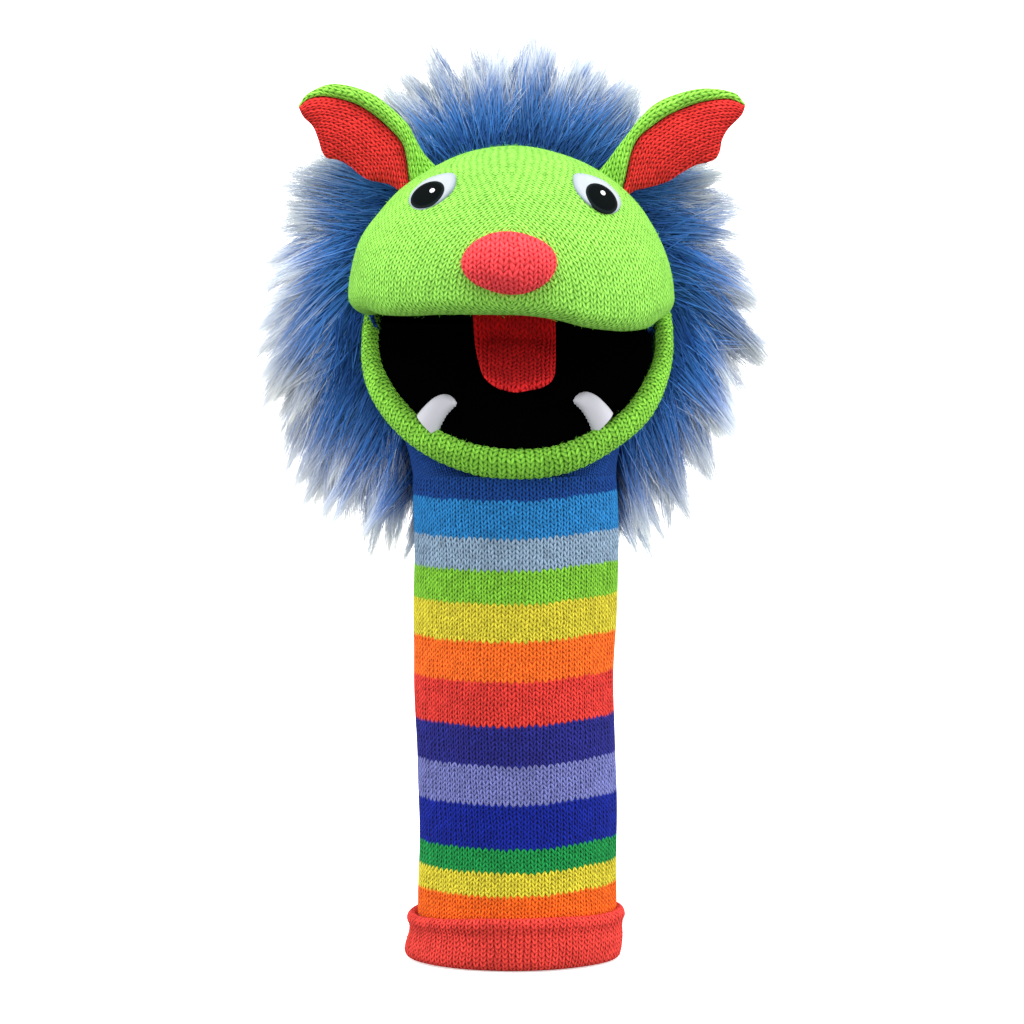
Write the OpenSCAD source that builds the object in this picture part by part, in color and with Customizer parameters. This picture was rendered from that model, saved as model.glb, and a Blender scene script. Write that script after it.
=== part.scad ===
// Knitted moving-mouth hand puppet: a striped sleeve for the arm, a stuffed monster head
// whose mouth is worked by fingers and thumb, a long-pile mane, bat ears and a loose tongue.
// +Z is up, the face looks along -Y, and the origin is the middle of the arm opening.

/* [Sleeve] */
// Outside radius of the knitted sleeve
sleeve_r = 43; // [42:0.5:44]
// Thickness of the knitted fabric
knit_t = 2.4; // [2:0.1:2.6]
// Height of the turned-up cuff
cuff_h = 21.5; // [16:0.5:26]
// How far the cuff stands out from the sleeve
cuff_out = 3.2; // [2.6:0.1:4]
// Height at which the sleeve twists
twist_z = 121; // [100:1:130]
// Height of the wrist, where the sleeve bends
wrist_z = 190; // [188:1:192]
// Outside radius of the round section of fabric at the wrist
wrist_r = 40; // [39:0.5:40]

/* [Head] */
// Radius of the head, seen from above
head_r = 71; // [70:0.5:72]
// Height of the dome above the widest line
dome_h = 63.5; // [61:0.5:66]
// Height of the widest line of the head
head_z = 285; // [284:0.5:286]
// How far the middle of the head lies in front of the sleeve
head_forward = 25; // [24:0.5:26]
// Roundness of the upper lip
rim_r = 8; // [7.5:0.5:8.5]
// Radius of the mouth under the upper lip
mouth_r = 60; // [59:0.5:60]
// Height of the black ceiling of the mouth
ceiling_z = 288; // [287:0.5:290]

/* [Mouth] */
// How far the jaw hangs below the level, at rest
jaw_open = 50; // [46:1:54]
// Distance from the fold of the mouth to the middle of the lower lip
jaw_length = 69.5; // [67:0.5:72]
// Radius of the round front of the lower lip, to its middle
lip_path_r = 61.5; // [61:0.5:62]
// Half the width of the lower lip
lip_half_w = 4.5; // [4:0.1:4.6]
// Half the height of the lower lip
lip_half_h = 7.5; // [6.5:0.1:7.5]
// Thickness of the felt lining
felt_t = 1.6; // [1.2:0.1:1.8]
// Thickness of the stiff mouth boards
board_t = 2; // [1.6:0.1:2.2]
// Thickness of the pocket cloth
pocket_t = 1.4; // [1:0.1:1.6]
// Length of the tongue
tongue_l = 34; // [28:1:36]
// Width of the tongue at its root
tongue_w = 35; // [30:1:38]

/* [Face] */
// Length of the nose, from side to side
nose_l = 39; // [34:1:44]
// Radius of the nose
nose_r = 13.2; // [12:0.2:14]
// Distance of each eye from the middle of the face
eye_x = 34; // [32:0.5:36]
// Height of the eyes
eye_z = 330.5; // [328:0.5:332]
// Length of the white of an eye
eye_l = 25; // [22:0.5:27]
// Width of the white of an eye
eye_w = 13; // [11:0.5:15]
// Upward slant of the eyes towards the nose
eye_slant = 33; // [25:1:40]

/* [Ears] */
// How far the left ear reaches out, beside its plain outline
ear_reach_left = 1; // [0.9:0.05:1.15]
// How far the right ear, which is spread wider, reaches out
ear_reach_right = 1.15; // [0.9:0.05:1.15]

/* [Mane] */
// Widest radius of the fur, seen from the front
mane_r = 108.5; // [104:0.5:112]
// Depth of the fur behind its widest line
mane_depth = 62; // [56:1:72]

/* [Hidden] */

// Clearances: between bodies that move, and between pieces sewn together
move_gap = 0.4;
sewn_gap = 0.2;
// A length that is more than any cut needs
far = 400;

green = [0.58, 0.9, 0.28];
coral = [0.92, 0.28, 0.26];
red = [0.88, 0.2, 0.2];
black = [0.06, 0.06, 0.06];
fur_blue = [0.24, 0.43, 0.68];
stripe_blue = [0.14, 0.27, 0.6];
wadding_white = [0.95, 0.95, 0.93];
board_grey = [0.6, 0.58, 0.55];
cloth_black = [0.15, 0.15, 0.17];

// Sleeve and wrist
sleeve_in_r = sleeve_r - knit_t;
cuff_round = 1.4;
middle_top_z = wrist_z - 22;
wrist_below = 20;
wrist_above = 6;
wrist_t = 2;
wrist_steps = 8;
collar_r = wrist_r + move_gap;
collar_h = 7;
nape_r = sleeve_r + 4;
nape_front_y = 9;

// Head
head_y = -head_forward;
head_bottom_z = head_z - rim_r;
rim_mid_r = head_r - rim_r;
lining_top_z = ceiling_z + felt_t;
board_top_z = lining_top_z + board_t;
pocket_z = board_top_z + sewn_gap;
pocket_h = 21.6;
pocket_half_w = 37.4;
pocket_front_y = -81;
pocket_round = 30;
pocket_reach_r = 59;
dome_steps = 14;
rim_steps = 4;
ellipse_steps = 24;

// Mouth fold, which is the hinge of the jaw
fold_y = -4;
fold_z = head_bottom_z - 5;
fold_r = 1.8;
fold_half_l = 56;
palate_back_y = fold_y - 2;
palate_r = mouth_r - sewn_gap;

// Lower jaw, in its own frame: the fold is the origin and the lining lies in z = 0
lip_z = -4.5;
lip_cover_t = 1.3;
lip_middle_y = lip_path_r - jaw_length;
lining_r = lip_path_r - lip_half_w - sewn_gap;
jaw_back_y = -(fold_r + move_gap);
chin_r = lip_path_r;
chin_top_z = lip_z - lip_half_h - sewn_gap;
chin_h = 18;
chin_t = 2;
chin_steps = 8;
chin_back_y = -18;
thumb_half_w = 14.4;
thumb_front_y = -46;
thumb_back_y = -12;
thumb_top_z = -(felt_t + board_t + 2 * sewn_gap);
thumb_h = 17.4;

// Tongue, in the jaw's frame
tongue_back_y = -5;
tongue_t = 3.6;
tongue_tip_w = 30;
tongue_core_inset = 1.2;

// Teeth, in the jaw's frame: a stuffed fang from the lip towards the middle of the mouth
tooth_base = [35.5, -49.5, 4.2];
tooth_mid = [32.5, -46.5, 7];
tooth_tip = [28, -44.5, 9.6];
tooth_base_r = 4;
tooth_mid_r = 4.2;
tooth_tip_r = 3.4;
tooth_cloth_t = 0.8;

// Nose
nose_rise = 17;
nose_sunk = 1;
nose_cloth_t = 1.6;
nose_steps = 12;

// Eyes
pupil_l = 15.4;
pupil_w = 9.2;
pupil_out = 1.6;
pupil_drop = 0.8;
highlight_x = eye_x - 1;
highlight_l = 2.8;
highlight_w = 1.9;
highlight_rise = 0.4;
eye_white_t = 1.2;
eye_layer_t = 0.7;
eye_layer_top = 75;
eye_layer_bottom = 20;

// Ears: outlines as [x, z] of the right ear, seen from the front
ear_y = -11;
ear_root_x = 40;
ear_gap = 4 * move_gap;
ear_back_t = 2;
ear_wadding_t = 1.6;
ear_lining_t = 1.6;
ear_middle = [65, 350];
ear_wadding_share = 0.88;
ear_outline = [[34, 335], [36, 346], [45, 360], [60, 371.5], [75.5, 375], [86, 372], [90.5, 366],
    [88.5, 360], [83.5, 356.5], [82.5, 350], [79, 344.5], [73, 342.5], [67, 339], [62, 334.5],
    [54, 331], [44, 328]];
ear_inside = [[40, 334], [43.5, 346], [52, 356.5], [66, 365.5], [78, 369], [87.5, 367], [90, 364.5],
    [88.5, 360], [83.5, 356.5], [82.5, 350], [79, 344.5], [73, 342.5], [67, 339], [62, 334.5],
    [54, 331.5], [44, 330]];

// Mane
mane_z = 285.5;
mane_mid_y = 23;
mane_front_y = 3;
mane_jaw_front_y = 10;
mane_steps = 12;
mane_front_r = 0.96 * mane_r;
backing_t = 1.6;
backing_bottom_z = wrist_z + collar_h;

// Points along an elliptical arc
function arc(mid_x, mid_y, half_x, half_y, from, to, steps) =
    [for (i = [0:steps])
        let (a = from + (to - from) * i / steps)
        [mid_x + half_x * cos(a), mid_y + half_y * sin(a)]];

// A whole ellipse
function ellipse(mid_x, mid_y, half_x, half_y, steps) =
    arc(mid_x, mid_y, half_x, half_y, 0, 360 - 360 / steps, steps - 1);

// An almond: an ellipse drawn out to a point on its +x side
function almond(length, width, steps) =
    [for (i = [0:steps - 1])
        let (a = 360 * i / steps)
        let (narrow = 1 - 0.35 * max(0, cos(a)) * max(0, cos(a)))
        [length / 2 * cos(a), width / 2 * sin(a) * narrow]];

// The outline of the head as [radius, height], moved outwards by some distance
function dome_profile(out) = concat(
    arc(0, head_z, head_r + out, dome_h + out, 90, 0, dome_steps),
    arc(rim_mid_r, head_z, rim_r + out, rim_r + out, 0, -90, rim_steps));

module about_head_axis() {
    translate([0, head_y, 0])
    children();
}

module dome_solid(out) {
    about_head_axis()
    rotate_extrude($fn = 96)
    polygon(concat(dome_profile(out), [[0, head_bottom_z - out]]));
}

module dome_layer(from, to) {
    about_head_axis()
    rotate_extrude($fn = 96)
    polygon(concat(
        arc(0, head_z, head_r + to, dome_h + to, eye_layer_top, eye_layer_bottom, dome_steps),
        arc(0, head_z, head_r + from, dome_h + from, eye_layer_bottom, eye_layer_top, dome_steps)));
}

// Extrudes an outline of [x, z] towards the face, from one depth to another
module facing(back_y, thickness) {
    translate([0, back_y, 0])
    rotate([90, 0, 0])
    linear_extrude(thickness)
    children();
}

module mirrored(side) {
    flip = side == "left" ? 1 : 0;
    mirror([flip, 0, 0])
    children();
}

module tube(r_out, r_in, bottom, top) {
    translate([0, 0, bottom])
    difference() {
        cylinder(h = top - bottom, r = r_out, $fn = 96);
        translate([0, 0, -1])
        cylinder(h = top - bottom + 2, r = r_in, $fn = 96);
    }
}

// A flat plate with a half-round front and straight sides
module tongue_shape(radius, middle_y, back_y) {
    translate([0, middle_y])
    circle(r = radius, $fn = 96);
    translate([-radius, middle_y])
    square([2 * radius, back_y - middle_y]);
}

module behind(y) {
    translate([-far / 2, y, -far / 2])
    cube([far, far, 2 * far]);
}

// ---- Sleeve ----

module cuff_band() {
    in_r = sleeve_r + sewn_gap;
    out_r = sleeve_r + cuff_out;
    color(coral)
    rotate_extrude($fn = 96)
    polygon([[in_r, 0], [out_r - cuff_round, 0], [out_r, cuff_round],
        [out_r, cuff_h - cuff_round], [out_r - cuff_round, cuff_h], [in_r, cuff_h]]);
}

module sleeve_lower() {
    color("gold")
    tube(sleeve_r, sleeve_in_r, 0, twist_z);
}

module sleeve_middle() {
    color("yellowgreen")
    tube(sleeve_r, sleeve_in_r, twist_z + move_gap, middle_top_z);
}

module sleeve_wrist() {
    from = -asin(wrist_below / wrist_r);
    to = asin(wrist_above / wrist_r);
    in_r = wrist_r - wrist_t;
    color("deepskyblue")
    translate([0, 0, wrist_z])
    rotate_extrude($fn = 96)
    polygon(concat(
        arc(0, 0, wrist_r, wrist_r, from, to, wrist_steps),
        arc(0, 0, in_r, in_r, to, from, wrist_steps)));
}

// ---- Head ----

module head_cover() {
    seam_r = mouth_r + knit_t;
    color(green)
    about_head_axis()
    rotate_extrude($fn = 96)
    polygon(concat(
        dome_profile(0),
        [[mouth_r, head_bottom_z], [mouth_r, ceiling_z], [seam_r, ceiling_z],
            [seam_r, head_bottom_z + knit_t]],
        arc(rim_mid_r, head_z, rim_r - knit_t, rim_r - knit_t, -90, 0, rim_steps),
        arc(0, head_z, head_r - knit_t, dome_h - knit_t, 0, 90, dome_steps)));
}

module nape_cover() {
    in_r = nape_r - knit_t;
    collar_top_z = wrist_z + collar_h;
    color(green)
    difference() {
        union() {
            rotate_extrude($fn = 96)
            polygon([[collar_r, wrist_z], [collar_r + knit_t, wrist_z], [nape_r, collar_top_z],
                [in_r, collar_top_z]]);
            difference() {
                tube(nape_r, in_r, collar_top_z, head_bottom_z + rim_r);
                translate([-far / 2, nape_front_y - far, 0])
                cube([far, far, far]);
            }
        }
        dome_solid(sewn_gap);
    }
}

// All the filling of the head: the inside of the cover, above the mouth
module head_filling() {
    in_a = head_r - knit_t - sewn_gap;
    in_b = dome_h - knit_t - sewn_gap;
    in_rim = rim_r - knit_t - sewn_gap;
    seam_r = mouth_r + knit_t + sewn_gap;
    about_head_axis()
    rotate_extrude($fn = 96)
    polygon(concat(
        arc(0, head_z, in_a, in_b, 90, 0, dome_steps),
        arc(rim_mid_r, head_z, in_rim, in_rim, 0, -90, rim_steps),
        [[seam_r, head_bottom_z + knit_t + sewn_gap], [seam_r, pocket_z], [0, pocket_z]]));
}

module above(z) {
    translate([-far / 2, -far / 2, z])
    cube([far, far, far]);
}

module head_padding() {
    color(wadding_white)
    difference() {
        intersection() {
            head_filling();
            above(pocket_z);
        }
        finger_pocket_block(sewn_gap);
    }
}

module upper_lip_padding() {
    color(wadding_white)
    difference() {
        head_filling();
        above(pocket_z - sewn_gap);
    }
}

// The pocket for the fingers, seen from above and grown by some distance: straight sides, a round
// front, and a back that follows the round of the head
module finger_pocket_outline(out) {
    half_w = pocket_half_w + out;
    round_r = pocket_round + out;
    middle_y = pocket_front_y + pocket_round;
    intersection() {
        union() {
            translate([-half_w, middle_y])
            square([2 * half_w, 2 * pocket_reach_r]);
            translate([-half_w + round_r, middle_y - round_r])
            square([2 * (half_w - round_r), round_r]);
            for (side = [-1, 1])
                translate([side * (half_w - round_r), middle_y])
                circle(r = round_r, $fn = 64);
        }
        translate([0, head_y])
        circle(r = pocket_reach_r + out, $fn = 96);
    }
}

module finger_pocket_block(out) {
    translate([0, 0, pocket_z - out])
    linear_extrude(pocket_h + 2 * out)
    finger_pocket_outline(out);
}

// The pocket is open below, behind the mouth, where the palm comes up
module finger_pocket() {
    color(cloth_black)
    difference() {
        finger_pocket_block(0);
        finger_pocket_block(-pocket_t);
        intersection() {
            translate([0, 0, -pocket_t])
            finger_pocket_block(-pocket_t);
            behind(palate_back_y + sewn_gap);
        }
    }
}

module upper_palate(thickness, radius) {
    difference() {
        about_head_axis()
        cylinder(h = thickness, r = radius, $fn = 96);
        behind(palate_back_y);
    }
}

module upper_mouth_lining() {
    wall_bottom_z = fold_z + fold_r + move_gap;
    color(black) {
        translate([0, 0, ceiling_z])
        upper_palate(felt_t, palate_r);
        translate([-fold_half_l, palate_back_y - felt_t, wall_bottom_z])
        cube([2 * fold_half_l, felt_t, ceiling_z + felt_t - wall_bottom_z]);
    }
}

module upper_mouth_board() {
    color(board_grey)
    translate([0, 0, lining_top_z])
    upper_palate(board_t, palate_r - 1);
}

module mouth_fold() {
    color(black)
    translate([-fold_half_l, fold_y, fold_z])
    rotate([0, 90, 0])
    cylinder(h = 2 * fold_half_l, r = fold_r, $fn = 32);
}

// ---- Face ----

// A rounded bar along X that is fullest in the middle
module nose_solid(inset) {
    half_l = nose_l / 2 - inset;
    radius = nose_r - inset;
    translate([0, head_y - head_r + nose_sunk, head_z + nose_rise])
    rotate([0, 90, 0])
    rotate_extrude($fn = 48)
    polygon(arc(0, 0, radius, half_l, -90, 90, nose_steps));
}

module nose_cover() {
    color(coral)
    difference() {
        nose_solid(0);
        nose_solid(nose_cloth_t);
        dome_solid(sewn_gap);
    }
}

module nose_stuffing() {
    color(wadding_white)
    difference() {
        nose_solid(nose_cloth_t + sewn_gap);
        dome_solid(sewn_gap);
    }
}

module eye_patch(side, length, width, x, from, to) {
    mirrored(side)
    intersection() {
        dome_layer(from, to);
        facing(head_y, head_r)
        translate([x, eye_z])
        rotate(180 - eye_slant)
        polygon(almond(length, width, ellipse_steps));
    }
}

module oval_patch(side, length, width, x, rise, from, to) {
    mirrored(side)
    intersection() {
        dome_layer(from, to);
        facing(head_y, head_r)
        translate([x, eye_z + rise])
        rotate(180 - eye_slant)
        polygon(ellipse(0, 0, length / 2, width / 2, ellipse_steps));
    }
}

module eye_white(side) {
    color("white")
    eye_patch(side, eye_l, eye_w, eye_x, sewn_gap, eye_white_t);
}

module eye_pupil(side) {
    color(black)
    oval_patch(side, pupil_l, pupil_w, eye_x + pupil_out, -pupil_drop,
        eye_white_t, eye_white_t + eye_layer_t);
}

module eye_highlight(side) {
    color("white")
    oval_patch(side, highlight_l, highlight_w, highlight_x, highlight_rise,
        eye_white_t + eye_layer_t, eye_white_t + 2 * eye_layer_t);
}

// ---- Mane ----

module mane_backing() {
    color(fur_blue) {
        intersection() {
            about_head_axis()
            rotate_extrude($fn = 96)
            polygon(concat(
                arc(0, head_z, head_r + backing_t + sewn_gap, dome_h + backing_t + sewn_gap,
                    80, 0, dome_steps),
                arc(0, head_z, head_r + sewn_gap, dome_h + sewn_gap, 0, 80, dome_steps)));
            behind(mane_front_y);
        }
        difference() {
            tube(nape_r + sewn_gap + backing_t, nape_r + sewn_gap, backing_bottom_z, head_z);
            dome_solid(sewn_gap);
            mirror([0, 1, 0])
            behind(-mane_jaw_front_y);
        }
    }
}

// The fur as one soft body: a round cushion behind the head, seen as a ring from the front
module mane_pile() {
    hollow_r = nape_r + backing_t + 2 * sewn_gap;
    bulge_y = mane_mid_y - mane_front_y;
    color(fur_blue)
    difference() {
        translate([0, mane_mid_y, mane_z])
        rotate([-90, 0, 0])
        rotate_extrude($fn = 96)
        polygon(concat(
            [[0, -bulge_y], [mane_front_r, -bulge_y]],
            arc(0, 0, mane_r, mane_depth, 0, 90, mane_steps)));
        dome_solid(backing_t + 2 * sewn_gap);
        cylinder(h = head_z, r = hollow_r, $fn = 96);
        translate([-far / 2, mane_jaw_front_y - far, 0])
        cube([far, far, head_bottom_z]);
    }
}

// ---- Ears ----

module ear_layer(side, outline, back_y, thickness) {
    reach = side == "left" ? ear_reach_left : ear_reach_right;
    mirrored(side)
    difference() {
        facing(back_y, thickness)
        polygon([for (p = outline) [ear_root_x + reach * (p[0] - ear_root_x), p[1]]]);
        dome_solid(ear_gap);
    }
}

module ear_back(side) {
    color(green)
    ear_layer(side, ear_outline, ear_y, ear_back_t);
}

module ear_wadding(side) {
    color(wadding_white)
    ear_layer(side, [for (p = ear_inside) ear_middle + ear_wadding_share * (p - ear_middle)],
        ear_y - ear_back_t, ear_wadding_t);
}

module ear_lining(side) {
    color(red)
    ear_layer(side, ear_inside, ear_y - ear_back_t - ear_wadding_t, ear_lining_t);
}

// ---- Lower jaw ----

module jaw_frame() {
    translate([0, fold_y, fold_z])
    rotate([jaw_open, 0, 0])
    children();
}

module lip_section(inset) {
    polygon(ellipse(lip_path_r, lip_z, lip_half_w - inset, lip_half_h - inset, ellipse_steps));
}

// The lip as a bar along its U: a half ring and two short straight ends
module lip_bar(inset, back_y) {
    translate([0, lip_middle_y, 0])
    rotate([0, 0, 180])
    rotate_extrude(angle = 180, $fn = 96)
    lip_section(inset);
    for (turn = [0, 1])
        mirror([turn, 0, 0])
        translate([0, back_y, 0])
        rotate([90, 0, 0])
        linear_extrude(back_y - lip_middle_y)
        lip_section(inset);
}

module lower_lip_cover() {
    color(green)
    jaw_frame()
    difference() {
        lip_bar(0, 0);
        lip_bar(lip_cover_t, -lip_cover_t);
    }
}

module lower_lip_wadding() {
    color(wadding_white)
    jaw_frame()
    lip_bar(lip_cover_t + sewn_gap, -lip_cover_t - sewn_gap);
}

module lower_mouth_lining() {
    color(black)
    jaw_frame()
    translate([0, 0, -felt_t])
    linear_extrude(felt_t)
    tongue_shape_cut(lining_r);
}

module tongue_shape_cut(radius) {
    intersection() {
        tongue_shape(radius, lip_middle_y, jaw_back_y);
        translate([-far / 2, jaw_back_y - far])
        square([far, far]);
    }
}

module lower_mouth_board() {
    color(board_grey)
    jaw_frame()
    translate([0, 0, -felt_t - board_t])
    linear_extrude(board_t)
    tongue_shape_cut(lining_r - 1);
}

module thumb_block(inset, back_y) {
    half_w = thumb_half_w - inset;
    middle_y = thumb_front_y + thumb_half_w;
    translate([0, 0, thumb_top_z - thumb_h + inset])
    linear_extrude(thumb_h - 2 * inset) {
        translate([0, middle_y])
        circle(r = half_w, $fn = 48);
        translate([-half_w, middle_y])
        square([2 * half_w, back_y - middle_y]);
    }
}

module thumb_pocket() {
    color(cloth_black)
    jaw_frame()
    difference() {
        thumb_block(0, thumb_back_y);
        thumb_block(pocket_t, thumb_back_y + 1);
    }
}

module chin_cover() {
    color(stripe_blue)
    jaw_frame()
    difference() {
        translate([0, lip_middle_y, 0])
        rotate_extrude($fn = 96)
        polygon(concat(
            arc(0, chin_top_z, chin_r, chin_h, 0, -90, chin_steps),
            arc(0, chin_top_z, chin_r - chin_t, chin_h - chin_t, -90, 0, chin_steps)));
        behind(chin_back_y);
    }
}

// ---- Teeth ----

module fang(inset) {
    $fn = 16;
    hull() {
        translate(tooth_base)
        sphere(tooth_base_r - inset);
        translate(tooth_mid)
        sphere(tooth_mid_r - inset);
    }
    hull() {
        translate(tooth_mid)
        sphere(tooth_mid_r - inset);
        translate(tooth_tip)
        sphere(tooth_tip_r - inset);
    }
}

module tooth_cover(side) {
    color("white")
    jaw_frame()
    mirrored(side)
    difference() {
        fang(0);
        fang(tooth_cloth_t);
    }
}

module tooth_wadding(side) {
    color(wadding_white)
    jaw_frame()
    mirrored(side)
    fang(tooth_cloth_t + sewn_gap / 2);
}

// ---- Tongue ----

module tongue_outline(inset) {
    half_root = tongue_w / 2 - inset;
    half_tip = tongue_tip_w / 2 - inset;
    tip_y = tongue_back_y - tongue_l + tongue_tip_w / 2;
    polygon(concat(
        [[half_root, tongue_back_y - inset], [-half_root, tongue_back_y - inset]],
        arc(0, tip_y, half_tip, half_tip, 180, 360, 16)));
}

module tongue_cover() {
    color(red)
    jaw_frame()
    difference() {
        translate([0, 0, move_gap])
        linear_extrude(tongue_t)
        tongue_outline(0);
        translate([0, 0, move_gap + tongue_core_inset])
        linear_extrude(tongue_t - 2 * tongue_core_inset)
        tongue_outline(tongue_core_inset);
    }
}

module tongue_interlining() {
    inset = tongue_core_inset + sewn_gap / 2;
    color(wadding_white)
    jaw_frame()
    translate([0, 0, move_gap + inset])
    linear_extrude(tongue_t - 2 * inset)
    tongue_outline(inset);
}

cuff_band();
sleeve_lower();
sleeve_middle();
sleeve_wrist();
head_cover();
nape_cover();
head_padding();
upper_lip_padding();
upper_mouth_lining();
upper_mouth_board();
mouth_fold();
finger_pocket();
nose_cover();
nose_stuffing();
eye_white("left");  // eye_white_left
eye_white("right");  // eye_white_right
eye_pupil("left");  // eye_pupil_left
eye_pupil("right");  // eye_pupil_right
eye_highlight("left");  // eye_highlight_left
eye_highlight("right");  // eye_highlight_right
mane_backing();
mane_pile();
ear_back("left");  // ear_back_left
ear_back("right");  // ear_back_right
ear_wadding("left");  // ear_wadding_left
ear_wadding("right");  // ear_wadding_right
ear_lining("left");  // ear_lining_left
ear_lining("right");  // ear_lining_right
lower_lip_cover();
lower_lip_wadding();
lower_mouth_lining();
lower_mouth_board();
thumb_pocket();
chin_cover();
tooth_cover("left");  // tooth_cover_left
tooth_cover("right");  // tooth_cover_right
tooth_wadding("left");  // tooth_wadding_left
tooth_wadding("right");  // tooth_wadding_right
tongue_cover();
tongue_interlining();
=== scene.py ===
import math

import bmesh
import bpy
import numpy as np
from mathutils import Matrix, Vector


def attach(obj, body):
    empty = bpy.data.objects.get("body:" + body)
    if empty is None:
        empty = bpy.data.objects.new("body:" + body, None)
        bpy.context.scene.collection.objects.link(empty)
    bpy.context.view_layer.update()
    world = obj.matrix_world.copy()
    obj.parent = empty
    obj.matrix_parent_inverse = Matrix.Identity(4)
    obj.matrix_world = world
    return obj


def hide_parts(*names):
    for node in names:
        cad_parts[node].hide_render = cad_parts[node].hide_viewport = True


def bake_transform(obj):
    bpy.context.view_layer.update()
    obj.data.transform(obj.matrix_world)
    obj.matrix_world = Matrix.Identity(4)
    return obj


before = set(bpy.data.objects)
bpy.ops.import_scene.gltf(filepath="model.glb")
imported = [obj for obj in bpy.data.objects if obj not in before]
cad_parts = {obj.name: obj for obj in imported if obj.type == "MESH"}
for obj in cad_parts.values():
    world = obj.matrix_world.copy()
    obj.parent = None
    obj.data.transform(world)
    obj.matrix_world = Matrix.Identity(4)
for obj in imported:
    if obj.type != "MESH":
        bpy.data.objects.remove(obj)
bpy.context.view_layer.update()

# Lengths below are in millimetres; the meshes are made in metres
MM = 0.001
TAU = 2 * math.pi

# Places that repeat the CAD
HEAD_Y = -25
HEAD_Z = 285
HEAD_R = 71
DOME_H = 63.5
RIM_R = 8
CEILING_Z = 288
FOLD_Y = -4
FOLD_Z = 272
JAW_OPEN = math.radians(50)
LIP_PATH_R = 61.5
LIP_MIDDLE_Y = -8
LIP_Z = -4.5
MANE_Z = 285.5


# ---------------------------------------------------------------- camera and light

# Height of the camera and of the place that it looks at, in metres
CAMERA_Z = 0.366
AIM_Z = 0.1921


def add_camera():
    """A long lens in front of the puppet."""
    data = bpy.data.cameras.new("camera")
    data.lens = 180.9
    data.sensor_width = 36
    camera = bpy.data.objects.new("camera", data)
    bpy.context.scene.collection.objects.link(camera)
    camera.location = (0, -2.2, CAMERA_Z)
    aim = Vector((0, 0, AIM_Z))
    camera.rotation_euler = (aim - camera.location).to_track_quat("-Z", "Y").to_euler()
    bpy.context.scene.camera = camera


def add_area_light(name, place, aim, size, watts):
    """A round lamp that faces aim. Lengths are in metres."""
    data = bpy.data.lights.new(name, "AREA")
    data.shape = "DISK"
    data.size = size
    data.energy = watts
    light = bpy.data.objects.new(name, data)
    bpy.context.scene.collection.objects.link(light)
    light.location = place
    light.rotation_euler = (Vector(aim) - light.location).to_track_quat("-Z", "Y").to_euler()


add_camera()
bpy.context.scene.view_settings.view_transform = "Standard"

add_area_light("light_top", (0.0, -0.7, 1.9), (0, -0.03, 0.3), 1.1, 26)
add_area_light("light_right", (1.6, -0.5, 0.15), (0, 0, 0.22), 0.9, 14.5)
add_area_light("light_left", (-1.6, -0.5, 0.1), (0, 0, 0.24), 0.9, 10.5)


# ---------------------------------------------------------------- curves and noise

def xyz(x, y, z):
    """Points from their three coordinates."""
    return np.stack(np.broadcast_arrays(x, y, z), axis=-1)


def unit(vectors):
    """The vectors with length 1."""
    return vectors / np.maximum(np.linalg.norm(vectors, axis=-1, keepdims=True), 1e-9)


def once_round(count):
    """Even angles once round, without the one that closes the circle."""
    return np.linspace(0, TAU, count, endpoint=False)


def rings(count, rows):
    """The angle and the row's value at each point of a grid that goes once round in every row."""
    return np.meshgrid(once_round(count), rows)


def travel(points):
    """The distance along a line of points at each of them."""
    return np.r_[0, np.cumsum(np.linalg.norm(np.diff(points, axis=0), axis=1))]


def rounded(wave, power):
    """A wave between -1 and 1 with fuller crests."""
    return np.sign(wave) * np.abs(wave) ** power


def smooth_curve(x, xs, ys):
    """A smooth line through the points (xs, ys), read at x. ys may be points with several numbers."""
    xs = np.asarray(xs, float)
    ys = np.asarray(ys, float)
    flat = ys.ndim == 1
    if flat:
        ys = ys[:, None]
    slopes = np.empty_like(ys)
    slopes[1:-1] = (ys[2:] - ys[:-2]) / (xs[2:] - xs[:-2])[:, None]
    slopes[0] = (ys[1] - ys[0]) / (xs[1] - xs[0])
    slopes[-1] = (ys[-1] - ys[-2]) / (xs[-1] - xs[-2])
    x = np.clip(np.asarray(x, float), xs[0], xs[-1])
    i = np.clip(np.searchsorted(xs, x, side="right") - 1, 0, len(xs) - 2)
    step = (xs[i + 1] - xs[i])[..., None]
    t = (x - xs[i])[..., None] / step
    out = (
        (2 * t**3 - 3 * t**2 + 1) * ys[i]
        + (t**3 - 2 * t**2 + t) * step * slopes[i]
        + (3 * t**2 - 2 * t**3) * ys[i + 1]
        + (t**3 - t**2) * step * slopes[i + 1]
    )
    return out[..., 0] if flat else out


def along(points, count):
    """count points at even steps along the smooth line through the given points, and their distances."""
    points = np.asarray(points, float)
    steps = travel(points)
    fine = smooth_curve(np.linspace(0, steps[-1], 400), steps, points)
    lengths = travel(fine)
    wanted = np.linspace(0, lengths[-1], count)
    placed = np.stack([np.interp(wanted, lengths, fine[:, k]) for k in range(fine.shape[1])], axis=1)
    return placed, wanted


def smoothstep(x, low, high):
    """0 below low, 1 above high, and a smooth rise between them."""
    t = np.clip((x - low) / (high - low), 0, 1)
    return t * t * (3 - 2 * t)


def wobble(points, wavelength, height, seed):
    """Smooth noise at each point: a few waves in chance directions."""
    draws = np.random.default_rng(seed)
    total = np.zeros(points.shape[:-1])
    for _ in range(6):
        direction = draws.normal(size=3)
        direction /= np.linalg.norm(direction)
        phase = draws.uniform(0, TAU)
        total += np.sin(points @ direction * (TAU / wavelength) + phase)
    return height * total / 2.4


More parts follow.
